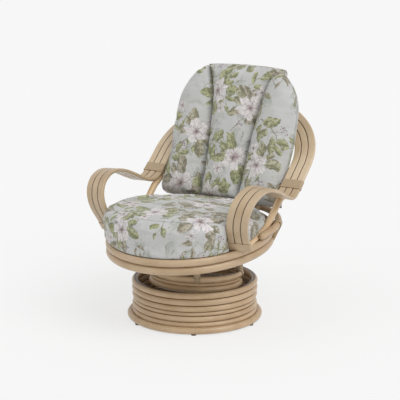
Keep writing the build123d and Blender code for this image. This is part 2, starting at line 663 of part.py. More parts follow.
with BuildPart() as post_wraps:
    add(post_bindings.part)
    add(post_sleeves.part.solids().filter_by(lambda piece: piece.center().Z > STACK_Z + STACK_TOP_CANE / 2))
keep(post_wraps, "post_bindings")

# ---- back rail: a D of cane on top of the hoop's rear half
BACK_RAIL_R = BACK_RAIL_CANE / 2
BACK_RAIL_PLANE = HOOP.offset(HOOP_R + BACK_RAIL_R + GLUE)


def back_rail_track():
    """Centre line of the back rail, from its left end round the back, in the plane in use."""
    corner_x = BACK_RAIL_SIDE - BACK_RAIL_CORNER_R
    corner_y = HOOP_FRONT_BACK - BACK_RAIL_CORNER_R
    Line((BACK_RAIL_SIDE, BACK_RAIL_FRONT), (BACK_RAIL_SIDE, corner_y))
    CenterArc((corner_x, corner_y), BACK_RAIL_CORNER_R, 0, 90)
    Line((corner_x, HOOP_FRONT_BACK), (-corner_x, HOOP_FRONT_BACK))
    CenterArc((-corner_x, corner_y), BACK_RAIL_CORNER_R, 90, 90)
    Line((-BACK_RAIL_SIDE, corner_y), (-BACK_RAIL_SIDE, BACK_RAIL_FRONT))


def back_rail_pole(radius):
    """Cane of the back rail, its two ends rounded."""
    with BuildPart() as pole:
        with BuildLine(BACK_RAIL_PLANE) as track:
            back_rail_track()
        with BuildSketch(Plane(origin=track.wire() @ 0, x_dir=(1, 0, 0), z_dir=BACK_RAIL_PLANE.y_dir)):
            Circle(radius)
        sweep(path=track.wire())
        with Locations(track.wire() @ 0, track.wire() @ 1):
            Sphere(radius)
    return pole.part


BACK_RAIL_CUTTER = back_rail_pole(BACK_RAIL_R + GLUE)
with BuildPart() as back_rail:
    add(back_rail_pole(BACK_RAIL_R))
    add(UPPER_CUTTER, mode=Mode.SUBTRACT)
keep(back_rail, "back_rail")


# ---- straps that bind the hoop's two canes and the back rail
def strap_hull(side, grown):
    """Everything inside a band round the three canes, square to the hoop, grown from the canes."""
    turn = radians(STRAP_ANGLE)
    reach = HOOP_END_OFF * sin(turn) + sqrt(HOOP_END_R ** 2 - (HOOP_END_OFF * cos(turn)) ** 2)
    hoop_x, hoop_y = reach * cos(turn), reach * sin(turn)
    out = atan2(hoop_y - HOOP_END_OFF, hoop_x)
    corner_x = BACK_RAIL_SIDE - BACK_RAIL_CORNER_R
    corner_y = HOOP_FRONT_BACK - BACK_RAIL_CORNER_R
    off_x, off_y = hoop_x - corner_x, hoop_y - corner_y
    along = off_x * cos(out) + off_y * sin(out)
    rail_off = -along + sqrt(BACK_RAIL_CORNER_R ** 2 - off_x ** 2 - off_y ** 2 + along ** 2)
    middle = HOOP.from_local_coords((side * hoop_x, hoop_y, 0))
    outward = HOOP.x_dir * (side * cos(out)) + HOOP.y_dir * sin(out)
    with BuildPart() as hull:
        with BuildSketch(Plane(origin=middle, x_dir=outward, z_dir=outward.cross(HOOP.z_dir))):
            with Locations((0, -HOOP_LOWER_DROP), (0, 0)):
                Circle(HOOP_R + grown)
            with Locations((rail_off, HOOP_R + BACK_RAIL_R + GLUE)):
                Circle(BACK_RAIL_R + grown)
            make_hull()
        extrude(amount=STRAP_W / 2, both=True)
    return hull.part


with BuildPart() as hoop_bindings:
    for side in (-1, 1):
        add(strap_hull(side, GLUE + STRAP_T))
        add(strap_hull(side, GLUE), mode=Mode.SUBTRACT)
    for cutter in (UPPER_CUTTER, LOWER_CUTTER, BACK_RAIL_CUTTER):
        add(cutter, mode=Mode.SUBTRACT)
keep(hoop_bindings, "hoop_bindings")

# ---- slats on the seat rails
with BuildPart() as slats:
    with BuildSketch(SLAT_BOTTOM):
        with GridLocations(0, SLAT_PITCH, 1, SLAT_COUNT):
            Rectangle(2 * HOOP_SIDE, SLAT_W)
    extrude(amount=SLAT_T)
    with BuildSketch(SLAT_BOTTOM):
        with BuildLine():
            oval(-HOOP_R - GLUE)
        make_face()
    extrude(amount=SLAT_T, mode=Mode.INTERSECT)
keep(slats, "seat_slats")

# ================================================================ rocker: arms
ARCH_UP = Vector(0, sin(radians(ARCH_LEAN)), cos(radians(ARCH_LEAN)))
ARCH = Plane(origin=(0, ARCH_Y, ARCH_Z), x_dir=(1, 0, 0),
             z_dir=(0, -cos(radians(ARCH_LEAN)), sin(radians(ARCH_LEAN))))


ARCH_SIDE = BACK_HALF + ARCH_ROOM
ARCH_RISE = ARCH_SHOULDER_R + ARCH_CROWN_LIFT    # from the top of the arch's legs to its crown
SHOULDER_X = ARCH_SIDE - ARCH_SHOULDER_R
CROWN_R = (SHOULDER_X ** 2 + ARCH_RISE ** 2 - ARCH_SHOULDER_R ** 2) / (2 * ARCH_CROWN_LIFT)
CROWN_Y = ARCH_LEG_TOP + ARCH_RISE - CROWN_R
CROWN_TURN = degrees(atan2(ARCH_LEG_TOP - CROWN_Y, SHOULDER_X))


def across_arch(x, height, depth):
    """Plane square to the arch's legs, at a place in the arch's plane and a depth behind it."""
    return Plane(origin=ARCH.from_local_coords((x, height, -depth)), x_dir=(1, 0, 0), z_dir=ARCH_UP)


def arm_planes():
    """Section planes up the left arm: local X runs across the ribbon, local Y into it from its face."""
    stations = [(Vector(*place[:3]), place[3], place[4]) for place in ARM_STATIONS]
    for height in (*ELBOW_STEPS, ARCH_START - GLUE):
        stations.append((ARCH.from_local_coords((ARCH_SIDE, height, 0)), 0.0, 0.0))
    planes = []
    for index, (point, turn, tilt) in enumerate(stations):
        before = stations[max(index - 1, 0)][0]
        after = stations[min(index + 1, len(stations) - 1)][0]
        along = (after - before).normalized()
        turn, tilt = radians(turn), radians(tilt)
        across = Vector(cos(tilt) * cos(turn), cos(tilt) * sin(turn), -sin(tilt))
        across = (across - along * across.dot(along)).normalized()
        planes.append(Plane(origin=point, x_dir=across, z_dir=along))
    return planes


ARM_PLANES = arm_planes()


def ribbon(shift, width, thickness, corner):
    """Strip along the left arm, with its middle shifted across the ribbon."""
    with BuildPart() as strip:
        for plane in ARM_PLANES:
            with BuildSketch(plane):
                with Locations((shift, STRIP_T / 2)):
                    RectangleRounded(width, thickness, corner)
        loft()
    return strip.part


def whole_ribbon(grown, corner):
    """All three strips of the left arm as one, grown on every side."""
    return ribbon(0, 3 * STRIP_W + 2 * grown, STRIP_T + 2 * grown, corner)


STRIP_SHIFTS = {"inner": -STRIP_W, "middle": 0.0, "outer": STRIP_W}
for place, shift in STRIP_SHIFTS.items():
    with BuildPart() as arm_strip:
        add(ribbon(shift, STRIP_W - 2 * GLUE, STRIP_T, STRIP_EDGE_R))
        add(UPPER_CUTTER, mode=Mode.SUBTRACT)
    keep(arm_strip, f"arm_strip_left_{place}")
    with BuildPart() as arm_strip_right:
        add(mirror(arm_strip.part, about=Plane.YZ))
    keep(arm_strip_right, f"arm_strip_right_{place}")

with BuildPart() as foot_wrap:
    add(whole_ribbon(BINDING_WALL, STRIP_EDGE_R + BINDING_WALL))
    add(whole_ribbon(WRAP_PLAY, STRIP_EDGE_R), mode=Mode.SUBTRACT)
    with BuildSketch(Plane.XY.offset(FOOT_WRAP_TOP)):
        Rectangle(4 * HOOP_SIDE, 4 * HOOP_FRONT_BACK)
    extrude(amount=ARCH_Z, mode=Mode.SUBTRACT)
    add(UPPER_CUTTER, mode=Mode.SUBTRACT)
keep(foot_wrap, "foot_wrap_left")
with BuildPart() as foot_wrap_right:
    add(mirror(foot_wrap.part, about=Plane.YZ))
keep(foot_wrap_right, "foot_wrap_right")


# ================================================================ rocker: arch
def arch_sweep(inset, depth, start, section):
    """Sweep a section up one leg of the arch, over its crown and down the other leg."""
    side = ARCH_SIDE - inset
    shoulder_r = ARCH_SHOULDER_R - inset
    with BuildPart() as cane:
        with BuildLine(ARCH.offset(-depth)) as track:
            Line((side, start), (side, ARCH_LEG_TOP))
            CenterArc((SHOULDER_X, ARCH_LEG_TOP), shoulder_r, 0, CROWN_TURN)
            CenterArc((0, CROWN_Y), CROWN_R - inset, CROWN_TURN, 180 - 2 * CROWN_TURN)
            CenterArc((-SHOULDER_X, ARCH_LEG_TOP), shoulder_r, 180 - CROWN_TURN, CROWN_TURN)
            Line((-side, ARCH_LEG_TOP), (-side, start))
        with BuildSketch(across_arch(side, start, depth)):
            add(section)
        sweep(path=track.wire())
    return cane.part


with BuildSketch() as strip_section:
    RectangleRounded(STRIP_W - 2 * GLUE, STRIP_T, STRIP_EDGE_R)
for place, shift in STRIP_SHIFTS.items():
    with BuildPart() as arch_strip:
        add(arch_sweep(-shift, STRIP_T / 2, ARCH_START, strip_section.sketch))
    keep(arch_strip, f"arch_strip_{place}")

# ---- side posts and the cane behind the arch
POST_R = SIDE_POST_CANE / 2
BACKING_DEPTH = STRIP_T + POST_R + GLUE
BACKING_START = ELBOW_STEPS[-1]
POST_END = ARCH.from_local_coords((ARCH_SIDE - BACKING_INSET, BACKING_START + POST_R, -BACKING_DEPTH))


def side_post(radius):
    """Left post, from its scarf on the hoop to the cane behind the arch."""
    with BuildPart() as post:
        with BuildLine() as track:
            FilletPolyline(*POST_CORNERS, POST_END, radius=POST_BEND_RADII)
        with BuildSketch(Plane(origin=track.wire() @ 0, z_dir=track.wire() % 0)):
            Circle(radius)
        sweep(path=track.wire())
        with BuildSketch(across_arch(0, BACKING_START - GLUE, 0)):
            Rectangle(4 * ARCH_SIDE, ARCH_SIDE)
        extrude(amount=4 * POST_R, mode=Mode.SUBTRACT)
    return post.part


POST_CUTTER = side_post(POST_R + GLUE)
with BuildPart() as post_left:
    add(side_post(POST_R))
    add(UPPER_CUTTER, mode=Mode.SUBTRACT)
    add(BACK_RAIL_CUTTER, mode=Mode.SUBTRACT)
keep(post_left, "side_post_left")
with BuildPart() as post_right:
    add(mirror(post_left.part, about=Plane.YZ))
keep(post_right, "side_post_right")

with BuildSketch() as backing_section:
    Circle(POST_R)
with BuildSketch() as backing_cutter_section:
    Circle(POST_R + GLUE)
BACKING_CUTTER = arch_sweep(BACKING_INSET, BACKING_DEPTH, BACKING_START, backing_cutter_section.sketch)
with BuildPart() as backing:
    add(arch_sweep(BACKING_INSET, BACKING_DEPTH, BACKING_START, backing_section.sketch))
keep(backing, "arch_backing_pole")

# ---- bindings at the elbows
with BuildPart() as elbow_binding:
    for low, high, wall in ((BINDING_LOW, BINDING_HIGH, BINDING_WALL),
                            (BINDING_LOW, BINDING_LOW + BINDING_LIP, BINDING_LIP_WALL)):
        with BuildSketch(across_arch(ARCH_SIDE, low, STRIP_T / 2)):
            RectangleRounded(3 * STRIP_W + 2 * wall, STRIP_T + 2 * wall, STRIP_EDGE_R + wall)
        extrude(amount=high - low)
    with BuildSketch(across_arch(ARCH_SIDE, BINDING_LOW, STRIP_T / 2)):
        RectangleRounded(3 * STRIP_W + 2 * WRAP_PLAY, STRIP_T + 2 * WRAP_PLAY, STRIP_EDGE_R)
    extrude(amount=BINDING_HIGH - BINDING_LOW, mode=Mode.SUBTRACT)
    add(POST_CUTTER, mode=Mode.SUBTRACT)
    add(BACKING_CUTTER, mode=Mode.SUBTRACT)
keep(elbow_binding, "elbow_binding_left")
with BuildPart() as elbow_binding_right:
    add(mirror(elbow_binding.part, about=Plane.YZ))
keep(elbow_binding_right, "elbow_binding_right")


# ================================================================ rocker: back frame
BACK_UP = Vector(0, sin(radians(BACK_LEAN)), cos(radians(BACK_LEAN)))
BACK_FORWARD = Vector(0, -cos(radians(BACK_LEAN)), sin(radians(BACK_LEAN)))


def hoop_reach(x):
    """Distance from the hoop's middle to its rear cane, and the slope of that cane, at a given x."""
    off = sqrt(HOOP_END_R ** 2 - x ** 2)
    return HOOP_END_OFF + off, x / off


def back_foot_y():
    """Where the frame's legs pass the upper hoop cane, lying against its inner side."""
    reach, slope = hoop_reach(BACK_FRAME_X)
    cane = (HOOP.x_dir - HOOP.y_dir * slope).normalized()
    square = BACK_UP.cross(cane)
    clear = (BACK_FRAME_CANE + HOOP_CANE) / 2 + GLUE
    rear = HOOP.from_local_coords((BACK_FRAME_X, reach, 0))
    return rear.Y - clear * square.length / abs(square.Y), rear.Z


BACK_FOOT_Y, BACK_FOOT_Z = back_foot_y()
BACK = Plane(origin=(0, BACK_FOOT_Y, BACK_FOOT_Z), x_dir=(1, 0, 0), z_dir=BACK_FORWARD)
BACK_FRAME_R = BACK_FRAME_CANE / 2


def frame_pole(radius):
    """Inverted U of cane behind the back cushion."""
    with BuildPart() as pole:
        with BuildLine(BACK) as track:
            FilletPolyline((BACK_FRAME_X, BACK_FRAME_FOOT), (BACK_FRAME_X, BACK_FRAME_TOP),
                           (-BACK_FRAME_X, BACK_FRAME_TOP), (-BACK_FRAME_X, BACK_FRAME_FOOT),
                           radius=BACK_FRAME_CORNER_R)
        with BuildSketch(Plane(origin=track.wire() @ 0, z_dir=track.wire() % 0)):
            Circle(radius)
        sweep(path=track.wire())
    return pole.part


FRAME_CUTTER = frame_pole(BACK_FRAME_R + GLUE)
with BuildPart() as back_frame:
    add(frame_pole(BACK_FRAME_R))
    add(UPPER_CUTTER, mode=Mode.SUBTRACT)
    with BuildSketch(LOWER_HOOP.offset(SEAT_RAIL_CANE / 2 + GLUE)):
        Rectangle(4 * BACK_FRAME_X, 4 * HOOP_FRONT_BACK)
    extrude(amount=-HOOP_CANE, mode=Mode.SUBTRACT)
keep(back_frame, "back_frame")

CROSSBAR_ROOT = BACK.from_local_coords((-BACK_FRAME_X, 0, 0))
with BuildPart() as crossbars:
    with BuildSketch(Plane(origin=CROSSBAR_ROOT, x_dir=BACK_UP, z_dir=(1, 0, 0))):
        with Locations(*[(height, 0) for height in CROSSBARS]):
            Circle(CROSSBAR_CANE / 2)
    extrude(amount=2 * BACK_FRAME_X)
    add(FRAME_CUTTER, mode=Mode.SUBTRACT)
    with BuildSketch(Plane.YZ.offset(-BACK_FRAME_X)):
        Rectangle(4 * ARCH_Z, 4 * ARCH_Z)
    extrude(amount=2 * BACK_FRAME_X, mode=Mode.INTERSECT)
keep(crossbars, "back_crossbars")

# ---- ties from the legs of the back frame to the arch's middle strip
TIE_END = ARCH.from_local_coords((BACK_FRAME_X, CROWN_Y + sqrt(CROWN_R ** 2 - BACK_FRAME_X ** 2), 0))
TIE_START_Y = BACK_FOOT_Y + (TIE_END.Z - BACK_FOOT_Z) * tan(radians(BACK_LEAN))
with BuildPart() as ties:
    with BuildSketch(Plane(origin=(0, TIE_START_Y, TIE_END.Z), x_dir=(1, 0, 0), z_dir=(0, 1, 0))):
        with GridLocations(2 * BACK_FRAME_X, 0, 2, 1):
            Circle(TIE_CANE / 2)
    extrude(amount=TIE_END.Y - TIE_START_Y + TIE_CANE)
    add(FRAME_CUTTER, mode=Mode.SUBTRACT)
    with BuildSketch(ARCH.offset(GLUE)):
        Rectangle(4 * ARCH_SIDE, 4 * ARCH_Z)
    extrude(amount=-4 * TIE_CANE, mode=Mode.SUBTRACT)
keep(ties, "arch_tie_blocks")

# ================================================================ cushions
SEAT_MID = tilted(SEAT_Y, SEAT_MID_Z, -SEAT_TOP_TILT)
SEAT_UNDER = HOOP.offset(HOOP_R + CLOTH_GAP)
ARM_SLOT = whole_ribbon(BINDING_WALL + CLOTH_GAP, STRIP_EDGE_R)
POST_SLOT = side_post(POST_R + CLOTH_GAP)
BACK_RAIL_SLOT = back_rail_pole(BACK_RAIL_R + CLOTH_GAP)


def seat_form(grown):
    """The seat cushion's turned shape before anything presses on it, grown on its outside."""
    with BuildPart() as form:
        with BuildSketch(Plane(origin=SEAT_MID.origin, x_dir=SEAT_MID.x_dir, z_dir=-SEAT_MID.y_dir)):
            with BuildLine():
                top = SEAT_CROWN + grown
                Line((0, -SEAT_SKIRT), (0, top))
                Line((0, top), (SEAT_TOP_FLAT_R, top))
                Spline((SEAT_TOP_FLAT_R, top), (SEAT_R + grown, 0), (SEAT_FOOT_R + grown, -SEAT_SKIRT),
                       tangents=((1, 0), (-SEAT_FOOT_LEAN, -1)))
                Line((SEAT_FOOT_R + grown, -SEAT_SKIRT), (0, -SEAT_SKIRT))
            make_face()
        revolve(axis=Axis(SEAT_MID.origin, SEAT_MID.z_dir))
    return form.part


with BuildPart() as seat_cushion:
    add(seat_form(0))
    with BuildSketch(SEAT_UNDER):
        Rectangle(4 * SEAT_R, 4 * SEAT_R)
    extrude(amount=-2 * SEAT_SKIRT, mode=Mode.SUBTRACT)
    plug_y = (SEAT_Y - HOOP_Y) / cos(radians(HOOP_TILT))
    with BuildSketch(HOOP.offset(SLAT_T - SLAT_DROP + CLOTH_GAP)):
        with Locations((0, plug_y)):
            Circle(SEAT_PLUG_R)
    extrude(amount=SLAT_DROP - SLAT_T + HOOP_R + 2 * CLOTH_GAP)
    for slot in (ARM_SLOT, POST_SLOT, strap_hull(1, GLUE + STRAP_T + CLOTH_GAP)):
        add(slot, mode=Mode.SUBTRACT)
        add(mirror(slot, about=Plane.YZ), mode=Mode.SUBTRACT)
    add(BACK_RAIL_SLOT, mode=Mode.SUBTRACT)
keep(seat_cushion, "seat_cushion")

BACK_REAR_D = BACK_FRAME_R + CLOTH_GAP
HOOD_REAR_D = BACK_REAR_D + HOOD_T
BACK_BOTTOM = BACK.from_local_coords((0, BACK_LOW, 0))
CHANNEL_X = (BACK_SEAM_X + BACK_HALF) / 2     # middle of a side channel
LEFT_EDGE, RIGHT_EDGE = (-BACK_HALF, -BACK_SIDE_D), (BACK_HALF, -BACK_SIDE_D)
LEFT_SEAM, RIGHT_SEAM = (-BACK_SEAM_X, -BACK_SEAM_D), (BACK_SEAM_X, -BACK_SEAM_D)
with BuildPart() as back_cushion:
    with BuildSketch(Plane(origin=BACK_BOTTOM, x_dir=(1, 0, 0), z_dir=BACK_UP)):
        with BuildLine():
            ThreePointArc(LEFT_EDGE, (-CHANNEL_X, -BACK_CREST_D), LEFT_SEAM)
            ThreePointArc(LEFT_SEAM, (0, -BACK_CREST_D), RIGHT_SEAM)
            ThreePointArc(RIGHT_SEAM, (CHANNEL_X, -BACK_CREST_D), RIGHT_EDGE)
            Polyline(RIGHT_EDGE, (BACK_REAR_HALF, -BACK_REAR_D), (-BACK_REAR_HALF, -BACK_REAR_D), LEFT_EDGE)
        make_face()
    extrude(amount=BACK_TOP - BACK_LOW)
    with BuildSketch(BACK):
        with BuildLine():
            low_x, low_y = BACK_LOW_BULGE
            high_x, high_y = BACK_SHOULDER_BULGE
            Line((-BACK_LOW_HALF, BACK_LOW), (BACK_LOW_HALF, BACK_LOW))
            ThreePointArc((BACK_LOW_HALF, BACK_LOW), (low_x, low_y), (BACK_HALF, BACK_WAIST))
            Line((BACK_HALF, BACK_WAIST), (BACK_HALF, BACK_SHOULDER))
            ThreePointArc((BACK_HALF, BACK_SHOULDER), (high_x, high_y), (BACK_TOP_HALF, BACK_TOP))
            Line((BACK_TOP_HALF, BACK_TOP), (-BACK_TOP_HALF, BACK_TOP))
            ThreePointArc((-BACK_TOP_HALF, BACK_TOP), (-high_x, high_y), (-BACK_HALF, BACK_SHOULDER))
            Line((-BACK_HALF, BACK_SHOULDER), (-BACK_HALF, BACK_WAIST))
            ThreePointArc((-BACK_HALF, BACK_WAIST), (-low_x, low_y), (-BACK_LOW_HALF, BACK_LOW))
        make_face()
    extrude(amount=BACK_CREST_D, mode=Mode.INTERSECT)
    with BuildSketch(BACK.offset(-HOOD_REAR_D)):
        with Locations((0, BACK_TOP - HOOD_T / 2)):
            Rectangle(2 * BACK_TOP_HALF, HOOD_T)
    extrude(amount=HOOD_REAR_D + BACK_SEAM_D)
    with BuildSketch(BACK.offset(-HOOD_REAR_D)):
        with Locations((0, BACK_TOP - HOOD_DROP / 2)):
            Rectangle(2 * BACK_TOP_HALF, HOOD_DROP)
    extrude(amount=HOOD_T)
    with BuildSketch(Plane.XY.offset(BACK_TOP_Z)):
        Rectangle(4 * BACK_HALF, 4 * BACK_TOP)
    extrude(amount=BACK_CREST_D, mode=Mode.SUBTRACT)
    add(seat_form(CLOTH_GAP), mode=Mode.SUBTRACT)
keep(back_cushion, "back_cushion")
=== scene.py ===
"""Looks of the swivel rocker: finishes, cushions, bindings, light and camera, in metres."""
import math
import bmesh
import bpy
import numpy as np
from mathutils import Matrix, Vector, noise
from mathutils.bvhtree import BVHTree


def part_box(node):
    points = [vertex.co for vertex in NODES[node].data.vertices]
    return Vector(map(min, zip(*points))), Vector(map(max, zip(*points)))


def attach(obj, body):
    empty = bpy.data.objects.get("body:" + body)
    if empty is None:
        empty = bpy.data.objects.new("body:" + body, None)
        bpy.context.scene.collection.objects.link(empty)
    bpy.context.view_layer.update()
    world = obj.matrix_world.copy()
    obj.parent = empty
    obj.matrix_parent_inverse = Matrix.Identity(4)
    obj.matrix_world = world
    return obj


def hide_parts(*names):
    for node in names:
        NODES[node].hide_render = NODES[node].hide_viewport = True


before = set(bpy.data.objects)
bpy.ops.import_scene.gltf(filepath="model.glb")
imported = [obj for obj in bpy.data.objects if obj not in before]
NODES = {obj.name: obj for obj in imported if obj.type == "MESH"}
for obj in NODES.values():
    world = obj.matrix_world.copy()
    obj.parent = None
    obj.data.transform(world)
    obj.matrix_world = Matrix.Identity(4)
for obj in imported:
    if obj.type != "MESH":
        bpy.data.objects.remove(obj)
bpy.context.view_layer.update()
SIDES = {"left": 1, "right": -1}
STRIPS = ("inner", "middle", "outer")


def leaning(degrees):
    """Directions up and forward of a thing that leans back by an angle."""
    lean = math.radians(degrees)
    return (0.0, math.sin(lean), math.cos(lean)), (0.0, -math.cos(lean), math.sin(lean))


# ================================================================ helpers for materials
class Value:
    """A material node's output, which can stand in sums."""

    def __init__(self, nodes, socket):
        self.nodes = nodes
        self.socket = socket

    def __add__(self, other):
        return self.nodes.math("ADD", self, other)

    def __sub__(self, other):
        return self.nodes.math("SUBTRACT", self, other)

    def __rsub__(self, other):
        return self.nodes.math("SUBTRACT", other, self)

    def __mul__(self, other):
        return self.nodes.math("MULTIPLY", self, other)

    def __truediv__(self, other):
        return self.nodes.math("DIVIDE", self, other)

    def __abs__(self):
        return self.nodes.math("ABSOLUTE", self)

    __radd__, __rmul__ = __add__, __mul__


class Nodes:
    """A material, and the nodes that are added to it."""

    def __init__(self, name):
        self.material = bpy.data.materials.new(name)
        self.material.use_nodes = True
        self.tree = self.material.node_tree
        self.tree.nodes.clear()

    def feed(self, socket, value):
        """Links a value to an input, or writes a fixed one there. A written colour gets its alpha."""
        if isinstance(value, Value):
            self.tree.links.new(value.socket, socket)
        elif socket.type == "RGBA":
            socket.default_value = (*value, 1.0)
        else:
            socket.default_value = value

    def add(self, kind, inputs=(), **settings):
        """Adds a node. Its inputs are given by name or number."""
        node = self.tree.nodes.new(kind)
        for key, value in settings.items():
            setattr(node, key, value)
        for key, value in dict(inputs).items():
            self.feed(node.inputs[key], value)
        return node

    def get(self, kind, output=0, inputs=(), **settings):
        """Adds a node and gives one of its outputs."""
        return Value(self, self.add(kind, inputs, **settings).outputs[output])

    def math(self, operation, *values, clamp=False):
        return self.get("ShaderNodeMath", 0, enumerate(values), operation=operation, use_clamp=clamp)

    def vector(self, operation, *values):
        output = "Value" if operation in ("DOT_PRODUCT", "LENGTH") else "Vector"
        return self.get("ShaderNodeVectorMath", output, enumerate(values), operation=operation)

    def dot(self, first, second):
        return self.vector("DOT_PRODUCT", first, second)

    def scaled(self, vector, scale):
        return self.get("ShaderNodeVectorMath", "Vector", {0: vector, "Scale": scale}, operation="SCALE")

    def split(self, vector):
        return [Value(self, socket) for socket in self.add("ShaderNodeSeparateXYZ", {0: vector}).outputs]

    def join(self, *values):
        return self.get("ShaderNodeCombineXYZ", 0, enumerate(values))

    def turn(self, vector, angle):
        inputs = {"Vector": vector, "Angle": angle}
        return self.get("ShaderNodeVectorRotate", 0, inputs, rotation_type="Z_AXIS")

    def mix(self, factor, first, second):
        return self.get("ShaderNodeMix", 2, {0: factor, 6: first, 7: second}, data_type="RGBA")

    def step(self, value, low, high):
        """0 below low, 1 above high, smooth between them. Low may be above high."""
        turned = low > high
        inputs = (value, min(low, high), max(low, high), float(turned), float(not turned))
        return self.get("ShaderNodeMapRange", 0, enumerate(inputs), interpolation_type="SMOOTHSTEP")

    def noise(self, vector, scale, detail=2.0, roughness=0.5, output=0):
        inputs = {"Vector": vector, "Scale": scale, "Detail": detail, "Roughness": roughness}
        return self.get("ShaderNodeTexNoise", output, inputs)

    def cells(self, vector, jitter):
        """Place and colour of the nearest cell of a pattern, and how far off it is."""
        node = self.add("ShaderNodeTexVoronoi", {"Vector": vector, "Scale": 1.0, "Randomness": jitter},
                        voronoi_dimensions="2D", feature="F1")
        return [Value(self, node.outputs[key]) for key in ("Position", "Color", "Distance")]


class Paint(Nodes):
    """A material of one Principled shader."""

    def __init__(self, name, roughness, **fixed):
        super().__init__(name)
        fixed = {key.replace("_", " "): value for key, value in fixed.items()}
        self.shader = self.add("ShaderNodeBsdfPrincipled", {"Roughness": roughness, **fixed})
        self.add("ShaderNodeOutputMaterial", {0: Value(self, self.shader.outputs[0])})
        self.place = self.get("ShaderNodeTexCoord", "Object")

    def bump(self, height, strength, distance):
        normal = self.get("ShaderNodeBump", 0, {"Strength": strength, "Distance": distance, "Height": height})
        self.feed(self.shader.inputs["Normal"], normal)

    def finish(self, base):
        self.feed(self.shader.inputs["Base Color"], base)
        return self.material


def wear(node, material):
    """Gives a CAD node one material."""
    if not NODES[node].material_slots:
        NODES[node].data.materials.append(material)
    for slot in NODES[node].material_slots:
        slot.link = "OBJECT"
        slot.material = material


# ================================================================ cane
# Light and deep tone of each cane.
PALE = (0.535, 0.408, 0.262), (0.40, 0.280, 0.160)
BRIGHT = (0.640, 0.505, 0.340), (0.50, 0.365, 0.220)
HONEY = (0.520, 0.378, 0.232), (0.40, 0.270, 0.150)
# paler cane for the inner rings and the posts under and behind the seat: painted light that lifts the shade
# they sit in
SHADE_LIFTED_WARM = (0.760, 0.555, 0.335), (0.61, 0.42, 0.230)
TAN = (0.545, 0.390, 0.232), (0.42, 0.275, 0.148)
PEEL = (0.56, 0.42, 0.25), (0.34, 0.23, 0.11)
# painted shade for the grooves between the strips, light and deep
GROOVE_SHADE = (0.080, 0.045, 0.020), (0.045, 0.024, 0.011)
ROSY = (0.63, 0.47, 0.32)
# painted shade for the creases where round canes touch, and for the grooves between turns of peel
CREASE_SHADE = (0.115, 0.066, 0.032)
LACQUER = {"Coat_Weight": 0.50, "Coat_Roughness": 0.24, "Specular_IOR_Level": 0.5}
POLE_ROUGHNESS, RIBBON_ROUGHNESS, PEEL_ROUGHNESS = 0.46, 0.44, 0.5
GRAIN_STRETCH = 0.06      # how fast the grain changes along a cane, as a share of how fast across it


def straight_grain(paint, direction):
    """Coordinates for grain that runs along one direction, and the distance along it."""
    along = paint.dot(paint.place, direction)
    shift = paint.scaled(direction, along * (1 - GRAIN_STRETCH))
    return paint.vector("SUBTRACT", paint.place, shift), along


def round_grain(paint, centre, across, up, radius):
    """The same for grain that runs round a centre, and the height over the circle's plane, which across
    and up span. The coordinate has its joint opposite to up."""
    across, up = Vector(across).normalized(), Vector(up).normalized()
    local = paint.vector("SUBTRACT", paint.place, centre)
    x, y, height = (paint.dot(local, way) for way in (across, up, across.cross(up)))
    reach = paint.math("SQRT", x * x + y * y)
    along = paint.math("ARCTAN2", x, y) * radius
    return paint.join(reach, height, along * GRAIN_STRETCH), along, height


def cane_finish(paint, grain, along, tones, seed):
    """Satin cane: streaks along the grain, slow changes of tone along the cane, fine relief."""
    light, deep = tones
    moved = paint.vector("ADD", grain, (seed * 0.37, seed * 0.11, seed * 0.23))
    streaks = paint.noise(moved, 260.0, 3.0, 0.6)
    fine = paint.noise(moved, 900.0, 2.0, 0.6)
    tone = paint.noise(paint.join(along, seed * 1.7, 0.0), 9.0, 2.0, 0.55)
    share = paint.step(streaks, 0.35, 0.75) * 0.35 + paint.step(tone, 0.35, 0.70) * 0.60
    base = paint.mix(share, light, deep)
    rosy = paint.noise(paint.join(along, seed * 3.1, 4.0), 5.0, 1.0, 0.5)
    base = paint.mix(paint.step(rosy, 0.45, 0.7) * 0.25, base, ROSY)
    base = paint.mix(paint.step(fine, 0.55, 0.8) * 0.16, base, deep)
    paint.bump(streaks + fine * 0.5, 0.18, 0.0004)
    return base


def ring_cane(name, centre, tilt, radius, half, tones, seed, below=False, above=False):
    """Cane bent into a ring or oval that lies in a plane tilted about X. Painted shade darkens it where it
    lies on the next cane below it or above it."""
    paint = Paint(f"cane_{name}", POLE_ROUGHNESS, **LACQUER)
    grain, along, height = round_grain(paint, centre, (1, 0, 0), leaning(-tilt)[1], radius)
    base = cane_finish(paint, grain, along, tones, seed)
    share = height / half
    # painted shade in the crease against the next cane below or above
    for wanted, low, high in ((below, -0.86, -0.99), (above, 0.86, 0.99)):
        if wanted:
            base = paint.mix(paint.step(share, low, high), base, CREASE_SHADE)
    return paint.finish(base)


def loop_cane(name, centre, across, up, radius, tones, seed):
    """Ribbon strip bent into a loop."""
    paint = Paint(f"cane_{name}", RIBBON_ROUGHNESS, **LACQUER)
    grain, along, _ = round_grain(paint, centre, across, up, radius)
    return paint.finish(cane_finish(paint, grain, along, tones, seed))


def straight_cane(name, direction, tones, seed):
    paint = Paint(f"cane_{name}", POLE_ROUGHNESS, **LACQUER)
    return paint.finish(cane_finish(paint, *straight_grain(paint, direction), tones, seed))


def box_middle(node):
    low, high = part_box(node)
    return (low + high) / 2


DRUM_NODES = [f"drum_ring_{number}" for number in range(1, 7)]
for seed, node in enumerate(["base_foot_ring"] + DRUM_NODES):
    low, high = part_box(node)
    half = (high.z - low.z) / 2
    wear(node, ring_cane(node, (low + high) / 2, 0.0, high.x - half, half, TAN, seed,
                         node in DRUM_NODES[1:], node in DRUM_NODES[:-1]))

STACK_TILT = -3.8
STACK_R = 0.182
STACK_HALVES = {"inner_ring_bottom": 0.013, "inner_ring_thin": 0.007, "inner_ring_top": 0.014}
# the inner rings get the paler cane as painted light against the seat's shade
for seed, (node, half) in enumerate(STACK_HALVES.items(), start=8):
    wear(node, ring_cane(node, box_middle(node), STACK_TILT, STACK_R, half, SHADE_LIFTED_WARM, seed,
                         node != "inner_ring_bottom", node != "inner_ring_top"))

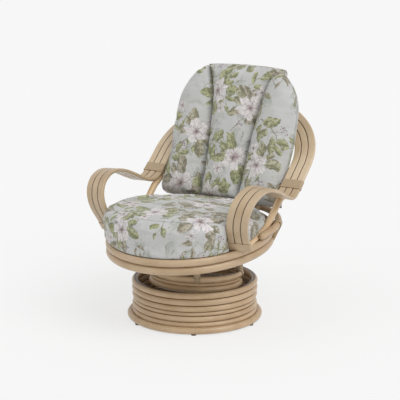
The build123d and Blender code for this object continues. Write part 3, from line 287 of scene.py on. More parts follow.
HOOP_TILT = 5.2
HOOP_NORMAL = np.array(leaning(-HOOP_TILT)[0])
HOOP_R = 0.335
HOOP_HALF = 0.017
BACK_RAIL_HALF = 0.014
for seed, node in enumerate(("hoop_lower", "hoop_upper"), start=12):
    wear(node, ring_cane(node, box_middle(node), HOOP_TILT, HOOP_R, HOOP_HALF, HONEY, seed,
                         node == "hoop_upper", node == "hoop_lower"))
HOOP_CENTRE = box_middle("hoop_upper")
wear("back_rail", ring_cane("back_rail", HOOP_CENTRE, HOOP_TILT, HOOP_R, BACK_RAIL_HALF, TAN, 14))

# ---- arms and arch: the grain follows the loop, and the coordinate's joint lies in the loop's open part
ARM_LOOP = (0.0, 0.0, 0.47), (0.0, 0.60, 0.80), (0.0, -0.80, 0.60), 0.19
ARCH_UP, ARCH_FACE = leaning(49)
ARCH_LOOP = (0.0, 0.295, 0.6246), (1, 0, 0), ARCH_UP, 0.31
for seed, strip in enumerate(STRIPS, start=20):
    wear(f"arch_strip_{strip}", loop_cane(f"arch_{strip}", *ARCH_LOOP, BRIGHT, seed))
    for side, sign in SIDES.items():
        wear(f"arm_strip_{side}_{strip}", loop_cane(f"arm_{side}_{strip}", *ARM_LOOP, PALE, seed + 5 * sign))
wear("arch_backing_pole", loop_cane("backing", *ARCH_LOOP, TAN, 31))

POST_RUN = (0.0, 0.78, 0.62)
for side, sign in SIDES.items():
    wear(f"side_post_{side}", straight_cane(f"post_{side}", POST_RUN, SHADE_LIFTED_WARM, 33 + sign))
    wear(f"foot_wrap_{side}", straight_cane(f"foot_{side}", (0.94, sign * 0.34, 0.0), PALE, 45 + sign))
BACK_UP, BACK_FORWARD = map(Vector, leaning(21))
for seed, (node, direction, tones) in enumerate((
        ("back_frame", BACK_UP, TAN), ("back_crossbars", (1, 0, 0), TAN), ("seat_rails", (0, 1, 0), TAN),
        ("seat_posts", (0, 0, 1), SHADE_LIFTED_WARM), ("arch_tie_blocks", (0, 1, 0), TAN)), start=36):
    wear(node, straight_cane(node, direction, tones, seed))


# ---- bindings of split cane peel, wound across the poles
def peel(name, along_dir, across_dir, pitch, seed, woven=False):
    """Flat peel wound square to a direction, one band for each pitch. Woven peel also shows the
    bands that cross it."""
    paint = Paint(f"peel_{name}", PEEL_ROUGHNESS, **LACQUER)
    along, across = (paint.dot(paint.place, Vector(way).normalized()) for way in (along_dir, across_dir))
    bands = along / pitch + paint.noise(paint.place, 60.0, 1.0) * 0.35
    rise = abs(paint.math("SINE", bands * math.pi))
    number = paint.math("FLOOR", bands)
    if woven:
        cross = across / (pitch * 1.6) + paint.math("MODULO", number, 2.0) * 0.5
        knot = abs(paint.math("SINE", cross * math.pi))
        rise = rise * (knot * 0.65 + 0.35)
    tone = paint.noise(paint.join(number * 3.7, across * 30.0, seed), 1.3, 1.0)
    fibre = paint.noise(paint.place, 700.0, 2.0, 0.6)
    base = paint.mix(paint.step(tone, 0.3, 0.7) * 0.6, PEEL[0], PALE[0])
    base = paint.mix(fibre * 0.30, base, PEEL[1])
    # painted shade in the grooves between the turns of peel
    base = paint.mix(paint.step(rise, 0.50, 0.08) * 0.85, base, CREASE_SHADE)
    paint.bump(rise + fibre * 0.15, 0.9, 0.0012)
    return paint.finish(base)


for side, sign in SIDES.items():
    wear(f"elbow_binding_{side}", peel(f"elbow_{side}", ARCH_UP, (1, 0, 0), 0.0052, 3.0 + sign, True))
wear("post_bindings", peel("post", (0, 0, 1), (1, 0, 0), 0.0065, 11.0))
wear("hoop_bindings", peel("hoop", (0, 1, 0), (0, 0, 1), 0.0062, 13.0))

# ================================================================ timber, metal, rubber, nylon
TIMBER = (0.34, 0.215, 0.120), (0.20, 0.115, 0.058)


def timber(name, direction):
    paint = Paint(f"timber_{name}", 0.62)
    rings = paint.noise(straight_grain(paint, direction)[0], 140.0, 4.0, 0.6)
    paint.bump(rings, 0.3, 0.0006)
    return paint.finish(paint.mix(paint.step(rings, 0.3, 0.7), *TIMBER))


for node, direction in (("drum_battens", (0, 0, 1)), ("base_cross_rails", (1, 0, 0)),
                        ("inner_cross_rails", (1, 0, 0)), ("seat_slats", (1, 0, 0))):
    wear(node, timber(node, direction))


def plain_finish(name, light, deep, metallic, roughness, scale):
    """Even surface of metal, rubber or nylon, clouded at one scale."""
    paint = Paint(name, roughness, Metallic=metallic)
    cloud = paint.noise(paint.place, scale, 3.0, 0.6)
    paint.feed(paint.shader.inputs["Roughness"], cloud * 0.16 + (roughness - 0.08))
    paint.bump(paint.noise(paint.place, 1400.0, 1.0), 0.12, 0.0002)
    return paint.finish(paint.mix(paint.step(cloud, 0.35, 0.7), light, deep))


for finish, nodes in (
        (("black_steel", (0.035, 0.035, 0.037), (0.022, 0.021, 0.021), 0.3, 0.45, 60.0),
         ("swivel_lower_plate", "swivel_upper_plate", "rocker_bracket_lower", "rocker_bracket_upper")),
        (("zinc_steel", (0.56, 0.56, 0.58), (0.42, 0.42, 0.44), 1.0, 0.36, 240.0),
         ("bearing_balls", "kingpin", "plate_bolts", "pivot_bolts", "bracket_screws", "rocker_springs")),
        (("rubber", (0.030, 0.030, 0.030), (0.018, 0.018, 0.018), 0.0, 0.75, 90.0), ("stop_rubbers",)),
        (("nylon", (0.10, 0.075, 0.055), (0.07, 0.050, 0.035), 0.0, 0.5, 90.0),
         ("pivot_bushes", "base_glides"))):
    material = plain_finish(*finish)
    for node in nodes:
        wear(node, material)

# ================================================================ printed cotton
CLOTH, CLOTH_WARM = (0.540, 0.546, 0.536), (0.510, 0.512, 0.495)
LEAF_LIGHT, LEAF_MID, LEAF_DARK = (0.45, 0.46, 0.24), (0.25, 0.265, 0.105), (0.085, 0.090, 0.040)
DRY_LIGHT, DRY_MID = (0.47, 0.42, 0.33), (0.24, 0.205, 0.125)
LEAF_GREY = (0.40, 0.415, 0.38)
PETAL_LIGHT, PETAL_MID, PETAL_LINE = (0.76, 0.73, 0.72), (0.56, 0.50, 0.505), (0.20, 0.165, 0.175)
HEART, MAUVE, STEM = (0.27, 0.17, 0.18), (0.15, 0.085, 0.145), (0.22, 0.20, 0.125)
BROWN = (0.13, 0.095, 0.065)
SEAM_SHADE = (0.14, 0.14, 0.13)
PRINT_MAP = "print"
SEAM_GAP = "seam_gap"     # distance from a seam, kept for each point of a cushion
NO_SEAM = 0.05            # a distance far beyond a seam's shade
THREAD = 0.0011
INK_EDGE = 0.0014         # how softly a printed edge ends
BUD_SIZE = 0.0085

# Motifs: their cells' size, turn and jitter, the share of cells without one, stems, and leaves. A stem or
# a leaf has a foot, a heading, a length, a width and a bow.
GREY_FOLIAGE = ((0.135, 1.3, 0.45), 0.20, (), (((-0.030, 0.010), 0.5, 0.080, 0.024, 0.3),
                                               ((-0.020, -0.010), -0.6, 0.070, 0.019, -0.3)))
SMALL_LEAVES = ((0.128, 0.7, 0.45), 0.45, (((-0.044, -0.006), 0.15, 0.080, 0.0015, 0.35),),
                (((-0.014, 0.004), 0.9, 0.050, 0.0120, 0.3), ((-0.010, -0.002), -0.75, 0.046, 0.0100, -0.3),
                 ((0.020, 0.004), 0.1, 0.040, 0.0085, -0.2)))
SPRAYS = ((0.205, 2.1, 0.38), 0.12, (((-0.105, -0.016), 0.22, 0.200, 0.0021, 0.30),
                                     ((-0.010, 0.012), 1.15, 0.075, 0.0015, -0.30)),
          (((-0.060, -0.002), 1.25, 0.058, 0.0150, 0.25), ((-0.066, -0.008), -0.9, 0.052, 0.0140, -0.25),
           ((-0.030, 0.008), 1.7, 0.070, 0.0185, 0.22), ((-0.028, 0.006), -1.2, 0.072, 0.0195, -0.25),
           ((0.010, 0.010), -0.55, 0.076, 0.0205, 0.20), ((0.038, 0.016), 0.85, 0.058, 0.0150, 0.30),
           ((0.050, 0.012), 0.05, 0.056, 0.0135, -0.25)))
BLOSSOMS = ((0.212, 0.35, 0.40), 0.10, (((0.020, -0.010), -0.75, 0.130, 0.0023, 0.35),),
            (((0.026, 0.022), 0.55, 0.080, 0.0235, 0.25), ((0.014, 0.034), 1.25, 0.060, 0.0150, 0.25),
             ((-0.016, 0.034), 2.1, 0.070, 0.0205, -0.25), ((-0.030, -0.020), 3.7, 0.078, 0.0225, 0.22),
             ((-0.020, -0.030), 4.3, 0.056, 0.0140, 0.22), ((0.010, -0.034), 5.0, 0.066, 0.0190, -0.2)))


def bowed_line(paint, local, foot, heading, length, bow):
    """Along a bowed line from its foot: the share of its length, a number that is 0 at both its ends, and
    the distance to one side of it."""
    offset = paint.vector("SUBTRACT", local, (*foot, 0.0))
    a = paint.dot(offset, (math.cos(heading), math.sin(heading), 0.0))
    b = paint.dot(offset, (-math.sin(heading), math.cos(heading), 0.0))
    share = paint.math("DIVIDE", a, length, clamp=True)
    spare = share * (1.0 - share)
    return share, spare, b - spare * (bow * length)


def print_stem(paint, base, local, spot, shown):
    foot, heading, length, width, bow = spot
    _, spare, bent = bowed_line(paint, local, foot, heading, length, bow)
    inside = paint.step(spare, 0.0, 0.02) * paint.step(abs(bent), width, width * 0.45)
    return paint.mix(inside * shown, base, STEM)


def print_leaf(paint, base, local, spot, wash, shown, tones):
    """Paints one leaf over a colour: two-toned about its midrib, with veins, washes and a dark edge."""
    foot, heading, length, width, bow = spot
    share, spare, bent = bowed_line(paint, local, foot, heading, length, bow)
    mask = paint.step(paint.math("POWER", spare, 0.72) * (2.7 * width) - abs(bent), 0.0, INK_EDGE)
    side = bent / width
    light, mid, dark = tones
    tone = paint.mix(paint.step(side, -0.20, 0.30), mid, light)
    veins = paint.math("SINE", share * 40.0 + abs(side) * -10.0)
    tone = paint.mix(paint.step(veins, 0.60, 0.95) * 0.45, tone, dark)
    tone = paint.mix(paint.step(wash, 0.46, 0.62) * 0.70, tone, dark)
    tone = paint.mix(paint.step(wash, 0.42, 0.34) * 0.55, tone, CLOTH)
    rim = paint.step(abs(side), 0.55, 0.95)
    tone = paint.mix(rim * (paint.step(wash, 0.38, 0.55) * 0.7), tone, BROWN)
    tone = paint.mix(paint.step(abs(side), 0.09, 0.03) * 0.8, tone, light)
    return paint.mix(mask * shown, base, tone)


def print_motif(paint, base, uv, wash, motif, tones=None):
    """Paints a motif's stems and leaves, each motif turned by a random angle, green or dry where no
    tones are given. Also gives the place in the nearest motif and whether its cell has one."""
    (size, turn, jitter), least, stems, leaves = motif
    spread = paint.scaled(paint.turn(uv, turn), 1 / size)
    nearest, tint, _ = paint.cells(spread, jitter)
    away = paint.scaled(paint.vector("SUBTRACT", spread, nearest), size)
    angle, rank, dryness = paint.split(tint)
    local = paint.turn(away, angle * math.tau)
    shown = paint.math("GREATER_THAN", rank, least)
    if tones is None:
        dry = paint.step(dryness, 0.45, 0.85)
        tones = (paint.mix(dry, LEAF_LIGHT, DRY_LIGHT), paint.mix(dry, LEAF_MID, DRY_MID), LEAF_DARK)
    for spot in stems:
        base = print_stem(paint, base, local, spot, shown)
    for spot in leaves:
        base = print_leaf(paint, base, local, spot, wash, shown, tones)
    return base, local, shown


def print_blossom(paint, base, local, radius, petals, wash, shown):
    """Paints an open flower: uneven petals in two rings, drawn with fine broken lines, and a dark heart."""
    x, y, _ = paint.split(local)
    reach = paint.vector("LENGTH", local)
    angle = paint.math("ARCTAN2", y, x)
    around = paint.vector("NORMALIZE", local)
    uneven = paint.noise(paint.vector("ADD", around, paint.scaled(local, 4.0)), 1.7, 1.0)
    streaks = paint.noise(paint.join(angle * 6.0, reach * 34.0, 0.0), 1.0, 3.0, 0.7)
    lines = abs(streaks - 0.5)
    for share, phase, lift in ((1.0, 0.0, 0.0), (0.68, 0.65, 0.25)):
        size = radius * share
        wave = abs(paint.math("COSINE", angle * (petals / 2) + phase))
        edge = (paint.math("POWER", wave, 0.6) * 0.42 + 0.50) * size
        gap = edge * (uneven * 1.30 + 0.35) + (wash - 0.5) * 0.030 - reach
        tone = paint.mix(paint.step(streaks, 0.46, 0.66) * 0.8, PETAL_LIGHT, PETAL_MID)
        tone = paint.mix(paint.step(wave, 0.35, 0.02) * 0.75, tone, PETAL_LINE)
        tone = paint.mix(paint.step(gap, 0.0034, 0.0008) * paint.step(wash, 0.40, 0.56), tone, PETAL_LINE)
        tone = paint.mix(paint.step(lines, 0.020, 0.006) * (0.55 + lift), tone, PETAL_LINE)
        tone = paint.mix(paint.step(reach / size - streaks * 0.55, 0.22, -0.02) * 0.60, tone, HEART)
        base = paint.mix(paint.step(gap, 0.0, INK_EDGE) * shown, base, tone)
    heart = paint.step(reach, radius * 0.15, radius * 0.09) * shown
    return paint.mix(heart, base, paint.mix(paint.step(streaks, 0.4, 0.6), HEART, LEAF_DARK))


def print_cluster(paint, base, local, place, size, shown):
    """Paints a loose oval head of small dark buds."""
    offset = paint.vector("SUBTRACT", local, (*place, 0.0))
    _, tint, away = paint.cells(paint.scaled(offset, 1 / BUD_SIZE), 1.0)
    stretched = paint.vector("LENGTH", paint.vector("MULTIPLY", offset, (1.0, 1.7, 0.0)))
    inside = paint.step(stretched, size, size * 0.75)
    tone = paint.mix(paint.step(paint.split(tint)[0], 0.3, 0.7), MAUVE, PETAL_MID)
    return paint.mix(inside * paint.step(away, 0.46, 0.30) * shown, base, tone)


def floral(name):
    """Pale cotton printed with loose sprays of pale blossoms, olive leaves and mauve buds."""
    paint = Paint(name, 0.82, Specular_IOR_Level=0.25, Sheen_Weight=0.15, Sheen_Roughness=0.5)
    uv_map = paint.get("ShaderNodeUVMap", uv_map=PRINT_MAP)
    sway = paint.noise(uv_map, 24.0, 2.5, output="Color")
    uv = paint.vector("ADD", uv_map, paint.scaled(paint.vector("SUBTRACT", sway, (0.5, 0.5, 0.5)), 0.030))
    wash = paint.noise(uv_map, 75.0, 3.0, 0.6)
    base = paint.mix(paint.step(paint.noise(uv_map, 7.0, 2.0, 0.5), 0.35, 0.65), CLOTH, CLOTH_WARM)

    base, _, _ = print_motif(paint, base, uv, wash, GREY_FOLIAGE, (LEAF_GREY, CLOTH_WARM, LEAF_GREY))
    base, _, _ = print_motif(paint, base, uv, wash, SMALL_LEAVES)
    base, local, shown = print_motif(paint, base, uv, wash, SPRAYS)
    base = print_cluster(paint, base, local, (0.014, 0.068), 0.026, shown)
    base, local, shown = print_motif(paint, base, uv, wash, BLOSSOMS)
    base = print_blossom(paint, base, local, 0.064, 5.0, wash, shown)
    aside = paint.vector("SUBTRACT", local, (-0.070, 0.040, 0.0))
    base = print_blossom(paint, base, aside, 0.030, 4.0, wash, shown * 0.9)
    base = print_cluster(paint, base, local, (0.074, -0.036), 0.020, shown)

    # fine broken pen lines over the thick of the print
    sketch = abs(paint.noise(uv_map, 52.0, 2.5, 0.55) - 0.5)
    thick = paint.step(paint.noise(uv_map, 9.0, 2.0, 0.5), 0.47, 0.57)
    lines = paint.step(sketch, 0.012, 0.004) * paint.step(wash, 0.42, 0.55)
    base = paint.mix(lines * thick * 0.80, base, BROWN)
    base = paint.mix(0.07, base, CLOTH)

    # shade in the seams' folds, and the weave
    gap = paint.get("ShaderNodeAttribute", "Fac", attribute_name=SEAM_GAP)
    base = paint.mix(paint.step(gap, 0.0105, 0.0) * 0.45, base, SEAM_SHADE)
    base = paint.mix(paint.step(gap, 0.0026, 0.0012) * 0.55, base, SEAM_SHADE)
    x, y, _ = paint.split(uv_map)
    threads = paint.math("SINE", x * (math.tau / THREAD)) + paint.math("SINE", y * (math.tau / THREAD))
    slub = paint.noise(paint.vector("MULTIPLY", uv_map, (1.0, 6.0, 1.0)), 420.0, 2.0, 0.6)
    paint.bump(threads * 0.25 + slub, 0.22, 0.0005)
    return paint.finish(paint.mix(slub * 0.12, base, CLOTH_WARM))


FLORAL = floral("floral_cotton")


# ================================================================ meshes
def link_piece(name, mesh, material):
    mesh.materials.append(material)
    piece = bpy.data.objects.new(name, mesh)
    bpy.context.scene.collection.objects.link(piece)
    return piece


def make_piece(name, points, faces, material, uvs=None, gaps=None):
    """Smooth mesh object, with a print map and distances from a seam given per point."""
    mesh = bpy.data.meshes.new(name)
    mesh.from_pydata([tuple(p) for p in points], [], faces)
    mesh.validate()
    for polygon in mesh.polygons:
        polygon.use_smooth = True
    if uvs is not None:
        layer = mesh.uv_layers.new(name=PRINT_MAP)
        for loop in mesh.loops:
            layer.data[loop.index].uv = uvs[loop.vertex_index][:2]
    if gaps is not None:
        mesh.attributes.new(SEAM_GAP, "FLOAT", "POINT").data.foreach_set("value", np.array(gaps, np.float32))
    return link_piece(name, mesh, material)


def shade(piece, smooth_points):
    """Shades smooth only the faces whose points are all among the first ones."""
    for polygon in piece.data.polygons:
        polygon.use_smooth = max(polygon.vertices) < smooth_points


def turn_outward(piece):
    """Turns the faces of a closed mesh outward."""
    builder = bmesh.new()
    builder.from_mesh(piece.data)
    bmesh.ops.recalc_face_normals(builder, faces=builder.faces)
    builder.to_mesh(piece.data)
    builder.free()


def ring_faces(rings, count):
    """Quads between closed rings of points."""
    return [(first + i, first + (i + 1) % count, first + count + (i + 1) % count, first + count + i)
            for first in range(0, (rings - 1) * count, count) for i in range(count)]


def make_cover(name, grid, ends, uvs, end_uvs, gaps):
    """Closed cushion cover: rings of points, closed by fans to two end points."""
    rings, count = grid.shape[:2]
    faces = ring_faces(rings, count)
    pole, last = rings * count, (rings - 1) * count
    faces += [(pole, i, (i + 1) % count) for i in range(count)]
    faces += [(pole + 1, last + (i + 1) % count, last + i) for i in range(count)]
    return make_piece(name, [*grid.reshape(-1, 3), *ends], faces, FLORAL, [*uvs.reshape(-1, 2), *end_uvs],
                      [*gaps.ravel(), NO_SEAM, NO_SEAM])


def blurred(field):
    """Mean of each grid value with its neighbours, round the rings and along them."""
    around = (np.roll(field, 1, axis=1) + np.roll(field, -1, axis=1)) / 2
    padded = np.vstack([field[:1], field, field[-1:]])
    return (field * 2 + around + (padded[:-2] + padded[2:]) / 2) / 4


def rough(x, y, z):
    return noise.noise(Vector((x, y, z)))


def smooth_path(knots, spacing):
    """Points along a Catmull-Rom curve through given knots, about evenly spaced."""
    knots = np.array(knots, float)
    ends = np.vstack([2 * knots[0] - knots[1], knots, 2 * knots[-1] - knots[-2]])
    points = []
    for i in range(1, len(ends) - 2):
        p0, p1, p2, p3 = ends[i - 1:i + 3]
        steps = max(1, round(np.linalg.norm(p2 - p1) / spacing))
        for t in np.arange(steps) / steps:
            points.append(0.5 * (2 * p1 + (p2 - p0) * t + (2 * p0 - 5 * p1 + 4 * p2 - p3) * t ** 2
                                 + (3 * p1 - p0 - 3 * p2 + p3) * t ** 3))
    points.append(knots[-1])
    return np.array(points)


def search_tree(node):
    return BVHTree.FromObject(NODES[node], bpy.context.evaluated_depsgraph_get())


def read_points(mesh):
    return np.array([v.co for v in mesh.vertices])


def write_points(piece, points):
    piece.data.vertices.foreach_set("co", points.astype(np.float32).ravel())
    piece.data.update()


CLOTH_SETTINGS = {"quality": 6, "mass": 0.3, "tension_stiffness": 25, "compression_stiffness": 25,
                  "shear_stiffness": 8, "bending_stiffness": 0.6, "use_pressure": True,
                  "uniform_pressure_force": 3.0, "vertex_group_mass": "pinned"}
SIM_FRAMES = 16


def swell(piece, pinned, slack, cap):
    """Runs cloth on a piece whose pinned points stay, and keeps the result within a cap."""
    start = read_points(piece.data)
    group = piece.vertex_groups.new(name="pinned")
    for index, weight in enumerate(pinned):
        if weight > 0:
            group.add([index], float(weight), "REPLACE")
    cloth = piece.modifiers.new("Cloth", "CLOTH")
    for key, value in CLOTH_SETTINGS.items():
        setattr(cloth.settings, key, value)
    cloth.settings.shrink_min = -slack
    cloth.settings.effector_weights.gravity = 0.0
    cloth.collision_settings.use_collision = False
    cloth.point_cache.frame_start = 1
    cloth.point_cache.frame_end = SIM_FRAMES
    for step in range(1, SIM_FRAMES + 1):
        bpy.context.scene.frame_set(step)
    depsgraph = bpy.context.evaluated_depsgraph_get()
    shift = read_points(piece.evaluated_get(depsgraph).data) - start
    piece.modifiers.remove(cloth)
    piece.vertex_groups.clear()
    length = np.linalg.norm(shift, axis=1, keepdims=True)
    write_points(piece, start + shift * np.minimum(1.0, cap / np.maximum(length, 1e-9)))
    bpy.context.scene.frame_set(1)


# ================================================================ joints between the strips, darkened by bars of painted shade
STRIP_PITCH = 0.030
STRIP_DEPTH = 0.014
GROOVE_DROP = 0.0012      # how far the dark bar of painted groove shade lies under the strips' faces
GROOVE_HALF = 0.0023
ARM_STATIONS = (          # as in the frame: place of the ribbon's middle, turn and tilt across it
    (0.3115, -0.167, 0.356, 24.0, 10.0),
    (0.3130, -0.190, 0.395, 19.0, 12.0),
    (0.3220, -0.222, 0.450, 14.0, 13.0),
    (0.3330, -0.235, 0.503, 9.0, 13.0),
    (0.3420, -0.222, 0.550, 4.0, 12.0),
    (0.3490, -0.183, 0.586, 1.0, 9.0),
    (0.3530, -0.124, 0.604, 0.0, 6.0),
    (0.3540, -0.050, 0.597, 0.0, 4.0),
    (0.3500, 0.030, 0.568, 0.0, 3.0),
    (0.3430, 0.100, 0.537, 0.0, 2.0),
    (0.3365, 0.160, 0.524, 0.0, 1.0),
)
ARM_ELBOW_UP = (0.060, 0.074, 0.0878)
ARM_SPACING = 0.007
ARM_LOWEST = 0.386        # the joints go on under the foot wraps
TURN_WEIGHT = 0.0005      # metres of path that count as much as a degree of turn
SEARCH_HALF = 0.008       # how far the real joint may lie from its place by the numbers
SEARCH_STEPS = 12
PROBE_BACK = 0.02         # how far off the ribbon the rays start that find its face
PROBE_ASIDE = 0.007       # how far they run from the joint, to each side
ARCH_FOOT = Vector((0.0, 0.1516, 0.500))
ARCH_ALONG = Vector(ARCH_UP)
ARCH_HALF = 0.333
ARCH_LEG = 0.190
ARCH_LEG_LOW = 0.092
SHOULDER_R = 0.270
CROWN_LIFT = 0.026


def arch_spot(x, up):
    return ARCH_FOOT + Vector((x, 0.0, 0.0)) + ARCH_ALONG * up


def arch_joint(shift):
    """Places along the arch's face, and the directions across and into the ribbon, for one joint."""
    shoulder_x = ARCH_HALF - SHOULDER_R
    rise = SHOULDER_R + CROWN_LIFT
    crown_r = (shoulder_x ** 2 + rise ** 2 - SHOULDER_R ** 2) / (2 * CROWN_LIFT)
    crown_up = ARCH_LEG + rise - crown_r
    turn = math.atan2(ARCH_LEG - crown_up, shoulder_x)
    spots = [(ARCH_HALF + shift, up, 1.0, 0.0) for up in np.linspace(ARCH_LEG_LOW, ARCH_LEG, 8)[:-1]]
    for x, up, radius, angles in ((shoulder_x, ARCH_LEG, SHOULDER_R, np.linspace(0, turn, 14)[:-1]),
                                  (0.0, crown_up, crown_r, np.linspace(turn, math.pi / 2, 18))):
        for c, s in zip(np.cos(angles), np.sin(angles)):
            spots.append((x + (radius + shift) * c, up + (radius + shift) * s, c, s))
    spots += [(-x, up, -c, s) for x, up, c, s in spots[-2::-1]]
    return [(arch_spot(x, up), Vector((c, 0.0, 0.0)) + ARCH_ALONG * s, -Vector(ARCH_FACE))
            for x, up, c, s in spots]


def arm_joint(shift, first, second):
    """The same for the left arm, settled on the real joint between two strips."""
    knots = np.array([*ARM_STATIONS, *[(*arch_spot(ARCH_HALF, up), 0.0, 0.0) for up in ARM_ELBOW_UP]])
    scale = np.array((1.0, 1.0, 1.0, TURN_WEIGHT, TURN_WEIGHT))
    path = smooth_path(knots * scale, ARM_SPACING) / scale
    places = []
    for (x, y, z, turn, tilt), run in zip(path, np.gradient(path[:, :3], axis=0)):
        run = Vector(run).normalized()
        turn, tilt = math.radians(turn), math.radians(tilt)
        across = Vector((math.cos(tilt) * math.cos(turn), math.cos(tilt) * math.sin(turn), -math.sin(tilt)))
        across = (across - run * across.dot(run)).normalized()
        into = run.cross(across)
        spot = Vector((x, y, z)) + across * shift
        low, high = -SEARCH_HALF, SEARCH_HALF
        for _ in range(SEARCH_STEPS):
            middle = (low + high) / 2
            probe = spot + across * middle + into * (STRIP_DEPTH / 2)
            if first.find_nearest(probe)[3] < second.find_nearest(probe)[3]:
                low = middle
            else:
                high = middle
        spot += across * ((low + high) / 2)
        hits = [tree.ray_cast(spot + across * side - into * PROBE_BACK, into, 2 * PROBE_BACK)[3]
                for tree, side in ((first, -PROBE_ASIDE), (second, PROBE_ASIDE))]
        if None not in hits and z > ARM_LOWEST:
            places.append((spot + into * (sum(hits) / 2 - PROBE_BACK), across, into))
    return places


def joint_fill(name, places, mirrored=False):
    """Dark bar of painted shade between two strips, seen only in the grooves where their rounded edges meet.
    """
    deep = STRIP_DEPTH - GROOVE_DROP
    corners = ((-1, GROOVE_DROP), (1, GROOVE_DROP), (1, deep), (-1, deep))
    points = [spot + across * (side * GROOVE_HALF) + into * depth
              for spot, across, into in places for side, depth in corners]
    if mirrored:
        points = [Vector((-p.x, p.y, p.z)) for p in points]
    last = len(points) - 4
    faces = ring_faces(len(places), 4) + [(0, 3, 2, 1), (last, last + 1, last + 2, last + 3)]
    if not mirrored:
        faces = [face[::-1] for face in faces]
    piece = make_piece(name, points, faces, JOINT_SHADE)
    shade(piece, 0)
    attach(piece, "rocker")


# the dark bars carry painted shade for the grooves
JOINT_SHADE = straight_cane("joint", (0, 1, 0), GROOVE_SHADE, 50)
ARM_TREES = [search_tree(f"arm_strip_left_{strip}") for strip in STRIPS]
for number, shift in ((1, -STRIP_PITCH / 2), (2, STRIP_PITCH / 2)):
    arm_places = arm_joint(shift, ARM_TREES[number - 1], ARM_TREES[number])
    joint_fill(f"arm_joint_left_{number}", arm_places)
    joint_fill(f"arm_joint_right_{number}", arm_places, mirrored=True)
    joint_fill(f"arch_joint_{number}", arch_joint(shift))

# ================================================================ peel wound round the hoop's canes
HOOP_WRAP_TURN = math.radians(61)     # way out from the hoop at the straps, from straight behind
WRAP_RIMS = ((1.12, 1.0), (0.98, 1.035))     # stretch along the hoop and growth off it: rim, inside
WRAP_PITCH = 0.0058


def hoop_wrap(name, side):
    """Solid band in the place of a strap, wider than it, rounded at its rims."""
    strap = NODES["hoop_bindings"]
    own = [p for p in (strap.matrix_world @ v.co for v in strap.data.vertices) if p.x * side > 0]
    middle = sum(own, Vector()) / len(own)
    out = Vector((side * math.sin(HOOP_WRAP_TURN), math.cos(HOOP_WRAP_TURN), 0.0))
    along = Vector(HOOP_NORMAL).cross(out).normalized()
    builder = bmesh.new()
    for p in own:
        run = (p - middle).dot(along)
        flat = p - middle - along * run
        for stretch, growth in WRAP_RIMS:
            builder.verts.new(middle + flat * growth + along * (run * stretch))
    made = bmesh.ops.convex_hull(builder, input=builder.verts)
    inside = {e for e in made["geom_interior"] + made["geom_unused"] if isinstance(e, bmesh.types.BMVert)}
    bmesh.ops.delete(builder, geom=list(inside), context="VERTS")
    mesh = bpy.data.meshes.new("hoop_wrap")
    builder.to_mesh(mesh)
    builder.free()
    material = peel(f"wrap_{name}", along, HOOP_NORMAL, WRAP_PITCH, 15.0 + side)
    piece = link_piece(f"hoop_wrap_{name}", mesh, material)
    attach(piece, "rocker")
    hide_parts("hoop_bindings")


for name, side in SIDES.items():
    hoop_wrap(name, side)

# ================================================================ seat cushion
SEAT_CENTRE = np.array((0.0, -0.083, 0.447))
SEAT_X = np.array((1.0, 0.0, 0.0))
SEAT_Z = np.array(leaning(3.2)[0])
SEAT_Y = np.cross(SEAT_Z, SEAT_X)
SEAT_AROUND, SEAT_SIDE_STEPS, SEAT_UNDER_STEPS = 216, 22, 6
SEAT_STEP = 0.0065
SEAT_TOP_PROFILE = ((0.004, 0.0575), (0.080, 0.0570), (0.150, 0.0545), (0.215, 0.0490), (0.262, 0.0400),
                    (0.296, 0.0265))
SEAT_SIDE_PROFILE = ((0.296, 0.0265), (0.316, 0.0130), (0.3275, -0.008), (0.3285, -0.036), (0.322, -0.070),
                     (0.314, -0.105), (0.306, -0.150))
SEAT_REST = np.array(HOOP_CENTRE) + HOOP_NORMAL * (HOOP_HALF + 0.0008)
SEAT_ROLL = 0.012         # radius of the roll under the side
SEAT_PLUG_R = 0.276
SEAT_PLUG_DROP = 0.034
SEAT_PLUG_EDGE = 0.010
SEAT_SEAM_SPREAD = 2.6    # makes the shade at the seat's seam this much narrower than in the back's folds
SEAT_SEAM_LIGHT = 0.0008  # and lighter
SEAT_UNEVEN = ((0.0035, 7.0), (0.0016, 19.0))     # height of soft bumps, and how close they lie
SEAT_PUCKER, SEAT_PUCKER_REACH = 0.0022, 0.030
SEAT_GROOVE = 0.0055      # depth and half width of the seam's groove
SEAT_OBSTACLES = ["back_rail", "back_frame",
                  *[f"{part}_{side}" for part in ("foot_wrap", "side_post") for side in SIDES],
                  *[f"arm_strip_{side}_{strip}" for side in SIDES for strip in STRIPS]]
SEAT_CLEAR = 0.0022
PRESS_FROM = 0.13         # distance from the middle at which the search for obstacles starts
PRESS_LEAST = 0.15        # least distance from the middle of a point that is moved
PRESS_EASING = 14


def seat_point(reach, height, angle):
    across, ahead = reach * math.sin(angle), reach * math.cos(angle)
    return SEAT_CENTRE + SEAT_X * across - SEAT_Y * ahead + SEAT_Z * height


def seat_out(angle):
    return SEAT_X * math.sin(angle) - SEAT_Y * math.cos(angle)


def over_hoop(spot):
    """Height of a point over the hoop's upper face."""
    return float((spot - SEAT_REST) @ HOOP_NORMAL)


